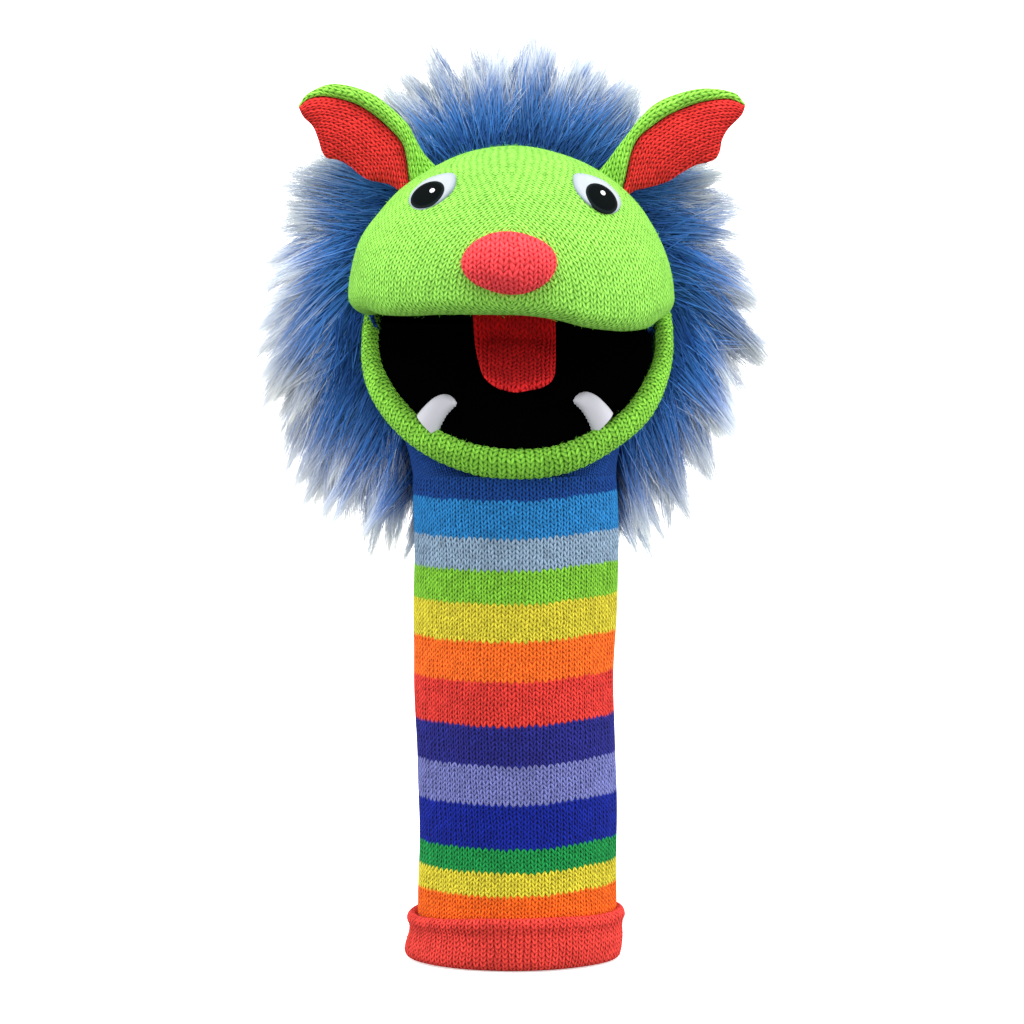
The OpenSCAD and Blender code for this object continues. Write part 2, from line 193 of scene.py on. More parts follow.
def jaw_place(points):
    """Points of the open jaw's own frame, moved to the row frame."""
    points = np.asarray(points, float)
    c, s = math.cos(JAW_OPEN), math.sin(JAW_OPEN)
    x, y, z = points[..., 0], points[..., 1], points[..., 2]
    return xyz(x, FOLD_Y + y * c - z * s, FOLD_Z + y * s + z * c)


def dome_y(x, z):
    """The front of the head at a place of its front view."""
    across = HEAD_R**2 * (1 - ((z - HEAD_Z) / DOME_H) ** 2) - x**2
    return HEAD_Y - np.sqrt(np.maximum(across, 0))


# ---------------------------------------------------------------- meshes

def grid(points, u, v, wrap=False, flip=False):
    """Quads through rows of points. u and v are in stitches, with one column more where it wraps."""
    points = np.asarray(points, float)
    shape = (points.shape[0], points.shape[1] + wrap)
    u, v = np.broadcast_to(u, shape), np.broadcast_to(v, shape)
    return {"points": points, "u": u, "v": v, "wrap": wrap, "flip": flip}


def two_walls(outer, inner, u, v, wrap=False, flip=False):
    """Cloth with a thickness: its outer wall and its inner wall, joined all round."""
    if not wrap:
        inner[:, [0, -1]] = outer[:, [0, -1]]
    shape = (len(outer), outer.shape[1] + wrap)
    pairs = [(outer, inner)] + [(np.broadcast_to(k, shape), np.broadcast_to(k, shape)) for k in (u, v)]
    walls = [np.concatenate([front, back[::-1], front[:1]]) for front, back in pairs]
    return grid(*walls, wrap=wrap, flip=flip)


def finish_mesh(name, verts, faces, uvs, material):
    """A piece from its vertices in mm, its faces, and the place of each face corner in stitches."""
    mesh = bpy.data.meshes.new(name)
    sides = faces.shape[1]
    mesh.vertices.add(len(verts))
    mesh.vertices.foreach_set("co", (verts * MM).astype(np.float32).ravel())
    mesh.loops.add(faces.size)
    mesh.loops.foreach_set("vertex_index", faces.astype(np.int32).ravel())
    mesh.polygons.add(len(faces))
    mesh.polygons.foreach_set("loop_start", np.arange(0, faces.size, sides, dtype=np.int32))
    mesh.polygons.foreach_set("use_smooth", np.ones(len(faces), bool))
    layer = mesh.uv_layers.new(name="knit")
    layer.data.foreach_set("uv", uvs.astype(np.float32).ravel())
    mesh.update(calc_edges=True)
    mesh.validate()
    mesh.materials.append(MATERIALS[material])
    piece = bpy.data.objects.new(name, mesh)
    bpy.context.scene.collection.objects.link(piece)
    return piece


# Points nearer to each other than this, in mm, become one
WELD = 0.002


def build(name, material, *grids):
    """One piece from grids, welded where they meet."""
    verts, faces, uvs = [], [], []
    base = 0
    for g in grids:
        rows, cols = g["points"].shape[:2]
        across = cols if g["wrap"] else cols - 1
        i, j = np.meshgrid(np.arange(rows - 1), np.arange(across), indexing="ij")
        k = (j + 1) % cols
        corners = [i * cols + j, i * cols + k, (i + 1) * cols + k, (i + 1) * cols + j]
        places = [(i, j), (i, j + 1), (i + 1, j + 1), (i + 1, j)]
        if g["flip"]:
            corners.reverse()
            places.reverse()
        faces.append(np.stack(corners, axis=-1).reshape(-1, 4) + base)
        uv = [np.stack([g["u"][p], g["v"][p]], axis=-1) for p in places]
        uvs.append(np.stack(uv, axis=-2).reshape(-1, 2))
        verts.append(g["points"].reshape(-1, 3))
        base += rows * cols
    piece = finish_mesh(name, np.concatenate(verts), np.concatenate(faces), np.concatenate(uvs), material)
    work = bmesh.new()
    work.from_mesh(piece.data)
    bmesh.ops.remove_doubles(work, verts=work.verts, dist=WELD * MM)
    work.to_mesh(piece.data)
    work.free()
    return piece


def surface(name, material, points, u=0.5, v=0.5, wrap=True, flip=False):
    """One piece from one grid of points."""
    return build(name, material, grid(points, u, v, wrap, flip))


def crisp_rim(piece):
    """Keeps the shading of a wall from bending round into its rim."""
    piece.data.set_sharp_from_angle(angle=math.radians(55))
    return piece


def normals_of(points):
    """Unit normals of a grid of points."""
    return unit(np.cross(np.gradient(points, axis=1), np.gradient(points, axis=0)))


def wale_relief(u, depth):
    """Height of the columns of stitches: a shallow groove between two of them."""
    return depth * (np.abs(np.sin(math.pi * u)) ** 0.7 - 0.6)


# ---------------------------------------------------------------- nodes and the light from all round

class Nodes:
    """Short calls that add nodes to a tree."""

    def __init__(self, tree):
        self.tree = tree

    def add(self, kind, *values, **settings):
        node = self.tree.nodes.new("ShaderNode" + kind)
        for key, value in settings.items():
            setattr(node, key, value)
        for socket, value in zip(node.inputs, values):
            if value is not None:
                self.plug(socket, value)
        return node

    def plug(self, socket, value):
        if isinstance(value, bpy.types.NodeSocket):
            self.tree.links.new(value, socket)
        elif hasattr(value, "__len__"):
            socket.default_value = value[:len(socket.default_value)]
        else:
            socket.default_value = value

    def math(self, operation, *values):
        return self.add("Math", *values, operation=operation).outputs[0]

    def plus(self, a, b):
        return self.math("ADD", a, b)

    def minus(self, a, b):
        return self.math("SUBTRACT", a, b)

    def times(self, a, b):
        return self.math("MULTIPLY", a, b)

    def range(self, value, low, high, to_low=0.0, to_high=1.0, **settings):
        return self.add("MapRange", value, low, high, to_low, to_high, **settings).outputs[0]


class Paint(Nodes):
    """The nodes of one material."""

    def __init__(self, name, roughness=0.85, sheen=0.0, specular=0.2):
        self.material = bpy.data.materials.new(name)
        self.material.use_nodes = True
        super().__init__(self.material.node_tree)
        self.shader = self.tree.nodes["Principled BSDF"]
        self.shader.inputs["Roughness"].default_value = roughness
        self.shader.inputs["Specular IOR Level"].default_value = specular
        self.shader.inputs["Sheen Weight"].default_value = sheen
        self.shader.inputs["Sheen Roughness"].default_value = 0.5

    def mix(self, share, a, b):
        node = self.add("Mix", share, data_type="RGBA")
        self.plug(node.inputs[6], a)
        self.plug(node.inputs[7], b)
        return node.outputs[2]

    def noise(self, scale, detail=2.0, vector=None):
        node = self.add("TexNoise", vector or self.add("TexCoord").outputs["Object"])
        node.inputs["Scale"].default_value = scale
        node.inputs["Detail"].default_value = detail
        return node.outputs[0]

    def uv(self):
        parts = self.add("SeparateXYZ", self.add("UVMap", uv_map="knit").outputs[0])
        return parts.outputs[0], parts.outputs[1]

    def brighten(self, colour, factor):
        """The colour times a factor, which may come from other nodes."""
        node = self.add("VectorMath", colour, operation="SCALE")
        self.plug(node.inputs["Scale"], factor)
        return node.outputs[0]

    def bump(self, height, distance, strength=1.0):
        node = self.add("Bump", strength, distance)
        self.plug(node.inputs["Height"], height)
        self.plug(self.shader.inputs["Normal"], node.outputs[0])

    def colour(self, value):
        self.plug(self.shader.inputs["Base Color"], value)
        return self.material


# Strength of the light from below, from above and, added to these, from the sides
WORLD_LOW = 0.29
WORLD_HIGH = 1.78
WORLD_SIDE = 0.62


def add_world():
    """Soft light that comes mostly from above and from the sides, and little from below."""
    world = bpy.data.worlds.new("studio")
    bpy.context.scene.world = world
    world.use_nodes = True
    nodes = Nodes(world.node_tree)
    place = nodes.add("SeparateXYZ", nodes.add("TexCoord").outputs["Generated"])
    smooth = {"interpolation_type": "SMOOTHSTEP"}
    above = nodes.range(place.outputs[2], -0.55, 0.95, WORLD_LOW, WORLD_HIGH, **smooth)
    sideways = nodes.math("ABSOLUTE", place.outputs[0])
    aside = nodes.range(sideways, 0.45, 1.0, 0.0, WORLD_SIDE, **smooth)
    background = world.node_tree.nodes["Background"]
    nodes.plug(background.inputs["Strength"], nodes.plus(above, aside))
    background.inputs["Color"].default_value = (1, 1, 1, 1)


add_world()


# ---------------------------------------------------------------- materials

# A surface gets this much more light than it needs, so the colours are painted darker by the same
STUDIO_LIGHT = 1.35


def rgb(red, green, blue):
    """Display values from 0 to 255 as the linear colour that a shader takes under this studio's light."""
    def linear(c):
        c /= 255
        return (c / 12.92 if c <= 0.04045 else ((c + 0.055) / 1.055) ** 2.4) / STUDIO_LIGHT

    return (linear(red), linear(green), linear(blue), 1.0)


# How steeply the two legs of a V stitch rise
YARN_LEAN = 1.7


def stitches(paint):
    """Stockinette: the height of the yarn, how far into the gaps between the stitches a point lies, which
    sets their painted shade, and the numbers of row and column.
    """
    u, v = paint.uv()
    u = paint.plus(u, paint.range(paint.noise(140, 1.0), 0.25, 0.75, -0.17, 0.17))
    v = paint.plus(v, paint.range(paint.noise(170, 1.0), 0.25, 0.75, -0.22, 0.22))
    off = paint.math("ABSOLUTE", paint.minus(paint.math("FRACT", u), 0.5))
    rise = paint.times(paint.minus(off, 0.25), YARN_LEAN)
    course = paint.minus(v, rise)
    row = paint.math("FLOOR", course)
    column = paint.math("FLOOR", u)
    across = paint.times(paint.minus(off, 0.25), 4.0)
    up = paint.times(paint.minus(paint.math("FRACT", course), 0.5), 2.0)
    far = paint.plus(paint.times(across, across), paint.times(up, up))
    # the groove between two columns of stitches takes a little of the painted shade as well
    ditch = paint.range(off, 0.34, 0.5, 0.0, 0.16)
    gap = paint.plus(paint.range(far, 0.5, 1.5), ditch)
    gap = paint.math("MINIMUM", gap, 1.0)
    height = paint.minus(1.0, paint.math("MINIMUM", paint.times(far, 0.55), 1.0))
    return height, gap, row, column


def yarn_colour(paint, colour, gap_shade_colour, gap, row, column, patchy=0.1, speckle=0.16):
    """Yarn, and the gaps between the stitches painted darker as painted shade, with chance differences from
    stitch to stitch.
    """
    # painted shade: where gap is 1 the colour is the darker gap colour, so the hollows between the stitches
    # look shaded
    mixed = paint.mix(gap, colour, gap_shade_colour)
    place = paint.add("CombineXYZ", column, row).outputs[0]
    chance = paint.add("TexWhiteNoise", place, noise_dimensions="3D").outputs[0]
    patch = paint.noise(28, 2.0)
    fibre = paint.noise(1100, 2.0)
    bright = paint.plus(paint.range(chance, 0, 1, 1 - speckle, 1 + speckle * 0.6),
                        paint.range(patch, 0.3, 0.7, -patchy, patchy))
    bright = paint.plus(bright, paint.range(fibre, 0.3, 0.7, -0.16, 0.16))
    return paint.brighten(mixed, bright)


def knitting(name):
    """Paint with the relief of plain knitting, and its gaps, rows and columns."""
    paint = Paint(name, 0.9, 0.0, 0.12)
    height, gap, row, column = stitches(paint)
    paint.bump(paint.plus(height, paint.times(paint.noise(2200, 2.0), 0.3)), 0.0006)
    return paint, gap, row, column


def knit(name, colour, gap_shade_colour, first=None, **looks):
    """Plain knitting. With first, the yarn changes from that colour to the other between rows 5 and 17; the
    tongue uses this for painted shade, a darker red at its root under the upper lip.
    """
    paint, gap, row, column = knitting(name)
    if first:
        colour = paint.mix(paint.range(row, 5, 17), first, colour)
    return paint.colour(yarn_colour(paint, colour, gap_shade_colour, gap, row, column, **looks))


# The colours of the sleeve from the cuff upwards: the height where each begins, its yarn, and the painted
# shade of its gaps
SLEEVE_Z = 18.0
SLEEVE_TOP = 210.0
COURSE = 2.1
BANDS = [
    (SLEEVE_Z, (0.83, 0.133, 0.012, 1), rgb(184, 44, 6)),
    (31.7, rgb(240, 226, 66), rgb(146, 126, 10)),
    (41.8, rgb(34, 164, 82), rgb(2, 60, 20)),
    (51.9, rgb(24, 44, 166), rgb(2, 6, 56)),
    (70.8, rgb(132, 138, 208), rgb(40, 42, 96)),
    (87.6, rgb(48, 50, 148), rgb(8, 8, 48)),
    (104.6, rgb(250, 70, 61), rgb(128, 10, 10)),
    (123.3, (0.89, 0.155, 0.018, 1), rgb(196, 56, 8)),
    (140.3, rgb(240, 227, 67), rgb(146, 126, 12)),
    (156.4, rgb(146, 222, 66), rgb(44, 104, 8)),
    (170.5, rgb(162, 190, 216), rgb(56, 80, 106)),
    (184.1, rgb(50, 148, 222), rgb(4, 50, 100)),
    (200.2, rgb(30, 80, 162), rgb(2, 16, 58)),
]
BAND_STARTS = [band[0] for band in BANDS] + [SLEEVE_TOP]
BAND_ROWS = np.r_[0, np.cumsum(np.round(np.diff(BAND_STARTS) / COURSE))]


def sleeve_rows(heights):
    """The row of stitches at a height; each band of colour is a whole number of rows high."""
    return np.interp(heights, BAND_STARTS, BAND_ROWS)


def sleeve_knit():
    """One knitted tube in bands of colour, each changing at a row of stitches."""
    paint, gap, row, column = knitting("sleeve_knit")
    rows = BAND_ROWS[-1]
    share = paint.math("DIVIDE", paint.plus(row, 0.5), rows)
    ramps = []
    for which in (1, 2):
        ramp = paint.add("ValToRGB", share)
        ramp.color_ramp.interpolation = "CONSTANT"
        stops = ramp.color_ramp.elements
        while len(stops) < len(BANDS):
            stops.new(1.0)
        for stop, band, first_row in zip(stops, BANDS, BAND_ROWS):
            stop.position = first_row / rows
            stop.color = band[which]
        ramps.append(ramp.outputs[0])
    return paint.colour(yarn_colour(paint, *ramps, gap, row, column, patchy=0.08))


def felt(name, colour):
    """Pressed fibres that lie in every direction."""
    paint = Paint(name, 0.95, 0.1, 0.1)
    place = paint.add("TexCoord").outputs["Object"]
    bent = paint.add("VectorMath", place, operation="MULTIPLY")
    bent.inputs[1].default_value = (1.0, 0.25, 1.0)
    fibres = paint.noise(900, 4.0, bent.outputs[0])
    tufts = paint.noise(120, 3.0)
    paint.bump(fibres, 0.0005, 0.6)
    bright = paint.range(fibres, 0.3, 0.7, 0.6, 1.3)
    bright = paint.plus(bright, paint.range(tufts, 0.3, 0.7, -0.2, 0.3))
    return paint.colour(paint.brighten(colour, bright))


def woven(name, colour, thread):
    """Plain weave: threads that go over and under in turn."""
    paint = Paint(name, 0.8, 0.1)
    place = paint.add("SeparateXYZ", paint.add("TexCoord").outputs["Object"])
    over = 1.0
    for axis in (0, 1, 2):
        turns = paint.times(place.outputs[axis], TAU / (thread * MM))
        over = paint.times(over, paint.math("SINE", turns))
    lint = paint.noise(300, 3.0)
    paint.bump(over, 0.0002, 0.5)
    bright = paint.plus(paint.range(over, -1, 1, 0.75, 1.2), paint.range(lint, 0.3, 0.7, -0.15, 0.15))
    return paint.colour(paint.brighten(colour, bright))


def patch_plastic(name, colour, edge, roughness):
    """A smooth patch whose colour is a little darker in its border, with a faint orange-peel surface."""
    paint = Paint(name, roughness, 0.0, 0.5)
    _, v = paint.uv()
    ring = paint.range(v, 0.8, 1.0)
    cloud = paint.noise(60, 2.0)
    paint.bump(paint.noise(700, 2.0), 0.0002, 0.25)
    mixed = paint.mix(ring, colour, edge)
    return paint.colour(paint.brighten(mixed, paint.range(cloud, 0.3, 0.7, 0.95, 1.05)))


def fur_paint(name, root, middle, tip):
    """Strands that are dark at the root and fade to pale tips, no two quite the same, with painted light
    that makes strands low on the puppet brighter.
    """
    paint = Paint(name, 0.75, 0.0, 0.15)
    u, v = paint.uv()
    ramp = paint.add("ValToRGB", v)
    ramp.color_ramp.interpolation = "EASE"
    stops = ramp.color_ramp.elements
    stops[0].position = 0.08
    stops[0].color = root
    stops[1].position = 1.0
    stops[1].color = tip
    for position, share in ((0.42, 0.0), (0.6, 0.1), (0.8, 0.54)):
        stop = stops.new(position)
        stop.color = [m + (t - m) * share for m, t in zip(middle, tip)]
    patch = paint.noise(22, 3.0)
    place = paint.add("SeparateXYZ", paint.add("TexCoord").outputs["Object"])
    # painted light: below 0.18 m the colour is 1.35 times as bright, above 0.34 m a little darker, to make
    # up for the light that reaches the lower fur less
    low = paint.range(place.outputs[2], 0.18, 0.34, 1.35, 0.95)
    bright = paint.plus(paint.range(u, 0, 1, 0.84, 1.16), paint.range(patch, 0.3, 0.7, -0.16, 0.16))
    bright = paint.times(bright, low)
    return paint.colour(paint.brighten(ramp.outputs[0], bright))


# In each knitted material the second colour is painted shade, laid in the gaps between the stitches.
MATERIALS = {
    "sleeve": sleeve_knit(),
    "cuff": knit("cuff_knit", rgb(252, 76, 66), rgb(150, 16, 14)),
    "neck": knit("neck_knit", rgb(30, 80, 162), rgb(2, 16, 58)),
    "head": knit("head_knit", rgb(166, 240, 100), rgb(62, 150, 14), patchy=0.05, speckle=0.12),
    "lip": knit("lip_knit", rgb(158, 238, 82), rgb(44, 116, 6)),
    "nose": knit("nose_knit", (0.88, 0.07, 0.08, 1), rgb(200, 20, 24), patchy=0.06),
    "ear_red": knit("ear_red_knit", rgb(255, 60, 56), rgb(120, 4, 4)),
    "ear_green": knit("ear_green_knit", rgb(164, 240, 90), rgb(60, 140, 12)),
    # painted shade: the tongue's first rows, at its root under the upper lip, are given a darker red
    "tongue": knit("tongue_knit", (1.0, 0.03, 0.034, 1), rgb(150, 0, 2), first=rgb(206, 12, 14)),
    "felt": felt("black_felt", rgb(2, 2, 3)),
    "pocket": woven("pocket_cloth", rgb(52, 52, 56), 1.2),
    "board": woven("board_sheet", rgb(140, 134, 124), 3.0),
    "eye_white": patch_plastic("eye_white", rgb(182, 190, 194), rgb(158, 172, 184), 0.6),
    "eye_black": patch_plastic("eye_black", rgb(2, 8, 9), rgb(30, 38, 40), 0.8),
    "highlight": patch_plastic("eye_highlight", rgb(245, 248, 250), rgb(224, 230, 234), 0.5),
    "satin": patch_plastic("tooth_satin", rgb(220, 220, 230), rgb(205, 205, 217), 0.45),
    # The fur's tip colour is given without the darkening of rgb(), so the tips come out near white: partly
    # the fur's own pale tips, partly painted light that shines through the thin fibres.
    "fur": fur_paint("blue_fur", rgb(24, 72, 142), rgb(60, 120, 198), (0.92, 0.93, 0.86, 1.0)),
    # The undercoat is the fur's blue painted darker, as painted shade deep in the coat.
    "undercoat": fur_paint("fur_undercoat", rgb(20, 58, 120), rgb(40, 92, 164), rgb(50, 104, 178)),
}
for soft, shine in (("felt", 0.01), ("eye_black", 0.03), ("eye_white", 0.08), ("satin", 0.3)):
    shader = MATERIALS[soft].node_tree.nodes["Principled BSDF"]
    shader.inputs["Specular IOR Level"].default_value = shine
    shader.inputs["Sheen Weight"].default_value = 0.0


def ride(piece, body, slot, *nodes):
    """The piece moves with a body and stands for these CAD nodes, which are hidden. slot is not used."""
    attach(piece, body)
    if nodes:
        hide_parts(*nodes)
    return piece


def bend(piece, first, second, start_z, end_z, slot, *nodes):
    """The piece's placing is applied to its mesh, and these CAD nodes are hidden. first, second, start_z,
    end_z and slot are not used.
    """
    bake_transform(piece)
    if nodes:
        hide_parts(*nodes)
    return piece


# ---------------------------------------------------------------- sleeve and cuff

WALES = 92
SLEEVE_T = 2.4


def sleeve_rings(heights, inward):
    """Points of the sleeve's wall, which leans and swells a little as soft cloth does."""
    places = [0, 24, 70, 110, 146, 175, 210]
    radius = smooth_curve(heights, places, [42.6, 42.6, 42.3, 42.6, 43.8, 43.7, 43.4])
    middle = smooth_curve(heights, places, [2.2, 2.5, 1.9, 1.3, 1.3, 1.4, 1.1])
    a, z = rings(WALES * 6, heights)
    r = radius[:, None] - inward[:, None]
    base = xyz(np.cos(a) * 43, np.sin(a) * 43, z * 0.8)
    r = r + wobble(base, 75, 0.45, 3) + wobble(base, 31, 0.2, 4)
    dent = np.exp(-(((a - 4.1 - 0.12 * np.sin(z / 23)) / 0.34) ** 2))
    dent = dent + 0.6 * np.exp(-(((a - 1.3) / 0.4) ** 2))
    r = r - 1.5 * dent * smoothstep(z, 16, 50) * smoothstep(210 - z, 0, 30)
    r = r + wale_relief(a / TAU * WALES, 0.4) * (inward == 0)[:, None]
    return xyz(middle[:, None] + r * np.cos(a), r * np.sin(a), z)


def sleeve_piece(name, low, high):
    """A stretch of the sleeve: up its outer wall and down its inner wall."""
    rows = int((high - low) / 2.2)
    heights = np.r_[np.linspace(low, high, rows), np.linspace(high, low, 8), low]
    inward = np.r_[np.zeros(rows), np.full(8, SLEEVE_T), 0]
    around = np.linspace(0, TAU, WALES * 6 + 1)[None]
    # the tube sits a little askew, so the bands rise to the right
    skew = 2.0 * smoothstep(np.cos(around), 0.05, 0.85)
    v = sleeve_rows(heights[:, None] - skew)
    points = sleeve_rings(heights, inward)
    return crisp_rim(surface(name, "sleeve", points, around / TAU * WALES, v))


# Each stretch of the sleeve: its lower and upper end, two bodies and the heights where a bend between them
# would begin and end, its CAD node, and the pieces that hold it up
SLEEVE = {
    "sleeve_forearm": (19, 128, "sleeve", "forearm", 60, 124, "sleeve_lower", ["sleeve_middle_bend"]),
    "sleeve_middle_bend": (128, 168, "forearm", "wrist", 129, 167, "sleeve_middle", ["sleeve_wrist_bend"]),
    "sleeve_wrist_bend": (168, 210, "wrist", "head", 169, 207, "sleeve_wrist", ["neck_back", "throat"]),
}
for name, (low, high, first, second, start_z, end_z, node, rests_on) in SLEEVE.items():
    stretch = sleeve_piece(name, low, high)
    bend(stretch, first, second, start_z, end_z, "sleeve_knit", node)


def cuff():
    """The turned-up end of the sleeve: a band with a thick rolled upper edge."""
    profile = [(41.2, 18.5), (40.9, 10), (40.9, 3), (41.6, 1.0), (43.4, 0.4), (45.2, 1.2), (46.1, 3.4),
               (46.3, 8), (46.1, 13), (46.2, 16.2), (47.0, 18.6), (47.2, 20.6), (46.2, 22.6), (44.6, 23.0),
               (43.2, 21.6), (42.8, 19.4)]
    section, lengths = along(profile, 44)
    a, r = rings(WALES * 6, section[:, 0])
    z = section[:, 1:]
    base = xyz(np.cos(a) * 46, np.sin(a) * 46, z)
    outside = smoothstep(r, 42, 45)
    r = r + outside * (wobble(base, 52, 0.5, 5) + wale_relief(a / TAU * WALES, 0.4))
    z = z + wobble(base * [1, 1, 0.2], 60, 0.45, 6) * smoothstep(z, -20, 26)
    left, right = smoothstep(-np.cos(a), 0.2, 1), smoothstep(np.cos(a), 0.2, 1)
    flare = (2.0 * left - 0.8 * right) * smoothstep(12 - z, 0, 10)
    z = z - (3.0 * left + 0.8 * right) * smoothstep(z, 8, 23)
    r = r + flare
    points = xyz(1.7 + r * np.cos(a), r * np.sin(a), np.maximum(z, 0.2))
    u = np.linspace(0, WALES, WALES * 6 + 1)[None]
    return surface("cuff", "cuff", points, u, (lengths / COURSE)[:, None], flip=True)


cuff_piece = ride(cuff(), "sleeve", "cuff_knit", "cuff_band")


# ---------------------------------------------------------------- head

RIM_MID_R = HEAD_R - RIM_R


def lip_drop(x):
    """How far the edge of the upper lip hangs below its plain place, along the front of the mouth."""
    return smooth_curve(x, [-72, -64, -56, -44, -30, -10, 6, 19, 30, 40, 48, 58, 64, 72],
                        [2.0, 3.4, 1.8, 2.0, 3.0, 3.2, 2.8, 0.9, -2.0, -3.6, -4.4, -3.8, -1.2, 0.5])


def dome_out(x, y, z):
    """Directions straight out of the dome of the head."""
    return unit(xyz(x, y - HEAD_Y, (z - HEAD_Z) * (HEAD_R / DOME_H) ** 2))


def head_profile():
    """Half section of the head, from its top down over the lip and up to the ceiling of the mouth."""
    top = np.linspace(math.pi / 2, 0, 60)
    dome = np.stack([HEAD_R * np.cos(top), HEAD_Z + DOME_H * np.sin(top)], axis=1)
    turn = np.linspace(0, -math.pi / 2, 14)[1:]
    rim = np.stack([RIM_MID_R + RIM_R * np.cos(turn), HEAD_Z + RIM_R * np.sin(turn)], axis=1)
    inner = np.array([(61.2, 277.6), (60.2, 279.4), (60.0, 283), (60.0, 287.8)])
    return np.concatenate([dome, rim, inner])


HEAD_NARROW = 0.972
HEAD_WALE = 3.5
HEAD_COURSE = 2.3
# The row of the profile from which the head is inside the mouth
HEAD_INSIDE = 75


def head_half(side):
    """Half of the head, from the middle of the face round to the middle of the back. side is 1 or -1."""
    profile = head_profile()
    columns = 145
    from_side = np.linspace(-math.pi / 2, math.pi / 2, columns)
    a, r = np.meshgrid(from_side, profile[:, 0])
    z = np.repeat(profile[:, 1][:, None], columns, axis=1)
    x = side * r * np.cos(a)
    y = HEAD_Y + r * np.sin(a)
    front = smoothstep(-np.sin(a), -0.25, 0.25)
    low = smoothstep(330 - z, 0, 45) * smoothstep(r, 56, 61)
    z = z + lip_drop(x) * low * front
    base = xyz(x, y, z)
    swell = wobble(base, 62, 0.5, 8) + wobble(base, 24, 0.14, 9)
    swell[HEAD_INSIDE:] = 0
    lengths = travel(profile)
    u = profile[:, :1] * from_side / HEAD_WALE + 500
    v = (lengths[-1] - lengths)[:, None] / HEAD_COURSE
    points = base + dome_out(x, y, z) * swell[..., None]
    points[..., 0] *= HEAD_NARROW
    return grid(points, u, v, flip=side < 0)


head_piece = build("head", "head", head_half(1), head_half(-1))
ride(head_piece, "head", "green_knit", "head_cover", "head_padding", "upper_lip_padding")


# Outline of the white of an eye about its middle: x away from the nose, z up
EYE_OUTLINE = [
    (-9.9, 7.3), (-9.9, 4.6), (-8.9, 1.6), (-6.4, -1.6), (-3.2, -4.4), (0.4, -6.5), (4.2, -7.8), (7.8, -7.2),
    (9.8, -4.8), (9.4, -1.6), (6.9, 1.6), (3.0, 4.8), (-1.4, 6.7), (-5.6, 7.8), (-8.4, 8.0),
]


def closed_line(points, count):
    """A smooth closed line through the points."""
    points = np.asarray(points, float)
    around = np.concatenate([points[-2:], points, points[:3]])
    steps = travel(around)
    wanted = np.linspace(steps[2], steps[2 + len(points)], count, endpoint=False)
    return smooth_curve(wanted, steps, around)


def oval(length, width, slant):
    """An ellipse about the origin, turned by slant degrees."""
    turn = once_round(72)
    c, s = math.cos(math.radians(slant)), math.sin(math.radians(slant))
    x, y = length / 2 * np.cos(turn), width / 2 * np.sin(turn)
    return np.stack([x * c - y * s, x * s + y * c], axis=-1)


def patch(name, material, place, outline, lift, thickness):
    """A smooth patch on the face. Its outline is set in the front view and it follows the head."""
    shares = np.array([0, 0.3, 0.55, 0.75, 0.86, 0.93, 0.97, 0.99, 1.0, 1.0])
    heights = thickness * np.array([1, 1, 1, 1, 0.97, 0.88, 0.7, 0.45, 0.1, -1.2])
    gx = place[0] + shares[:, None] * outline[None, :, 0]
    gz = place[1] + shares[:, None] * outline[None, :, 1]
    gy = dome_y(gx / HEAD_NARROW, gz)
    points = xyz(gx, gy, gz) + dome_out(gx, gy, gz) * (lift + heights)[:, None, None]
    return surface(name, material, points, 0.5, shares[:, None])


# For each eye: the place of the white, its size beside the plain outline and mirrored on the left, the
# pupil's place, its length, width and slant, and the place of the highlight
EYES = {
    "left": ((-33.0, 329.8), (-0.97, 0.95), (-34.5, 328.2), (15.4, 9.0, 30), (-32.4, 329.6)),
    "right": ((35.2, 329.0), (1.0, 1.03), (36.6, 326.8), (15.2, 9.4, 141), (37.0, 328.6)),
}
for side, (place, size, pupil_place, pupil_oval, spot_place) in EYES.items():
    rim = closed_line(EYE_OUTLINE, 96) * size
    white = patch("eye_" + side, "eye_white", place, rim, 0.3, 0.9)
    ride(white, "head", "eye_white", "eye_white_" + side)
    pupil = patch("pupil_" + side, "eye_black", pupil_place, oval(*pupil_oval), 1.0, 0.5)
    ride(pupil, "head", "eye_black", "eye_pupil_" + side)
    shine = oval(2.3, 1.5, pupil_oval[2])
    spot = patch("eye_spot_" + side, "highlight", spot_place, shine, 1.45, 0.3)
    ride(spot, "head", "eye_white", "eye_highlight_" + side)


def nose():
    """A stuffed knitted oval, gathered in where it is sewn to the face."""
    tilt = np.linspace(0, math.pi, 49)
    a, t = rings(96, tilt)
    half_l, half_h, half_d = 19.6, 13.0, 13.6
    bulge = np.sin(t) ** 0.88
    x = -1.2 + half_l * bulge * np.cos(a)
    z = 301.6 + half_h * bulge * np.sin(a) * (1 - 0.05 * np.cos(a) ** 2)
    y = -94.2 - half_d * rounded(np.cos(t), 0.92)
    points = xyz(x, y, z)
    swell = wobble(points, 26, 0.3, 12)[..., None]
    middle = np.array([-1.2, -94.2, 301.6])
    points = points + (points - middle) / 15 * swell
    full_a, full_t = np.meshgrid(np.linspace(0, TAU, 97), tilt)
    u = half_l * np.sin(full_t) * np.cos(full_a) / 3.6 + 50
    v = half_h * np.sin(full_t) * np.sin(full_a) / 2.2 + 50
    return surface("nose", "nose", points, u, v, flip=True)


nose_piece = ride(nose(), "head", "nose_knit", "nose_cover", "nose_stuffing")


# ---------------------------------------------------------------- lower jaw

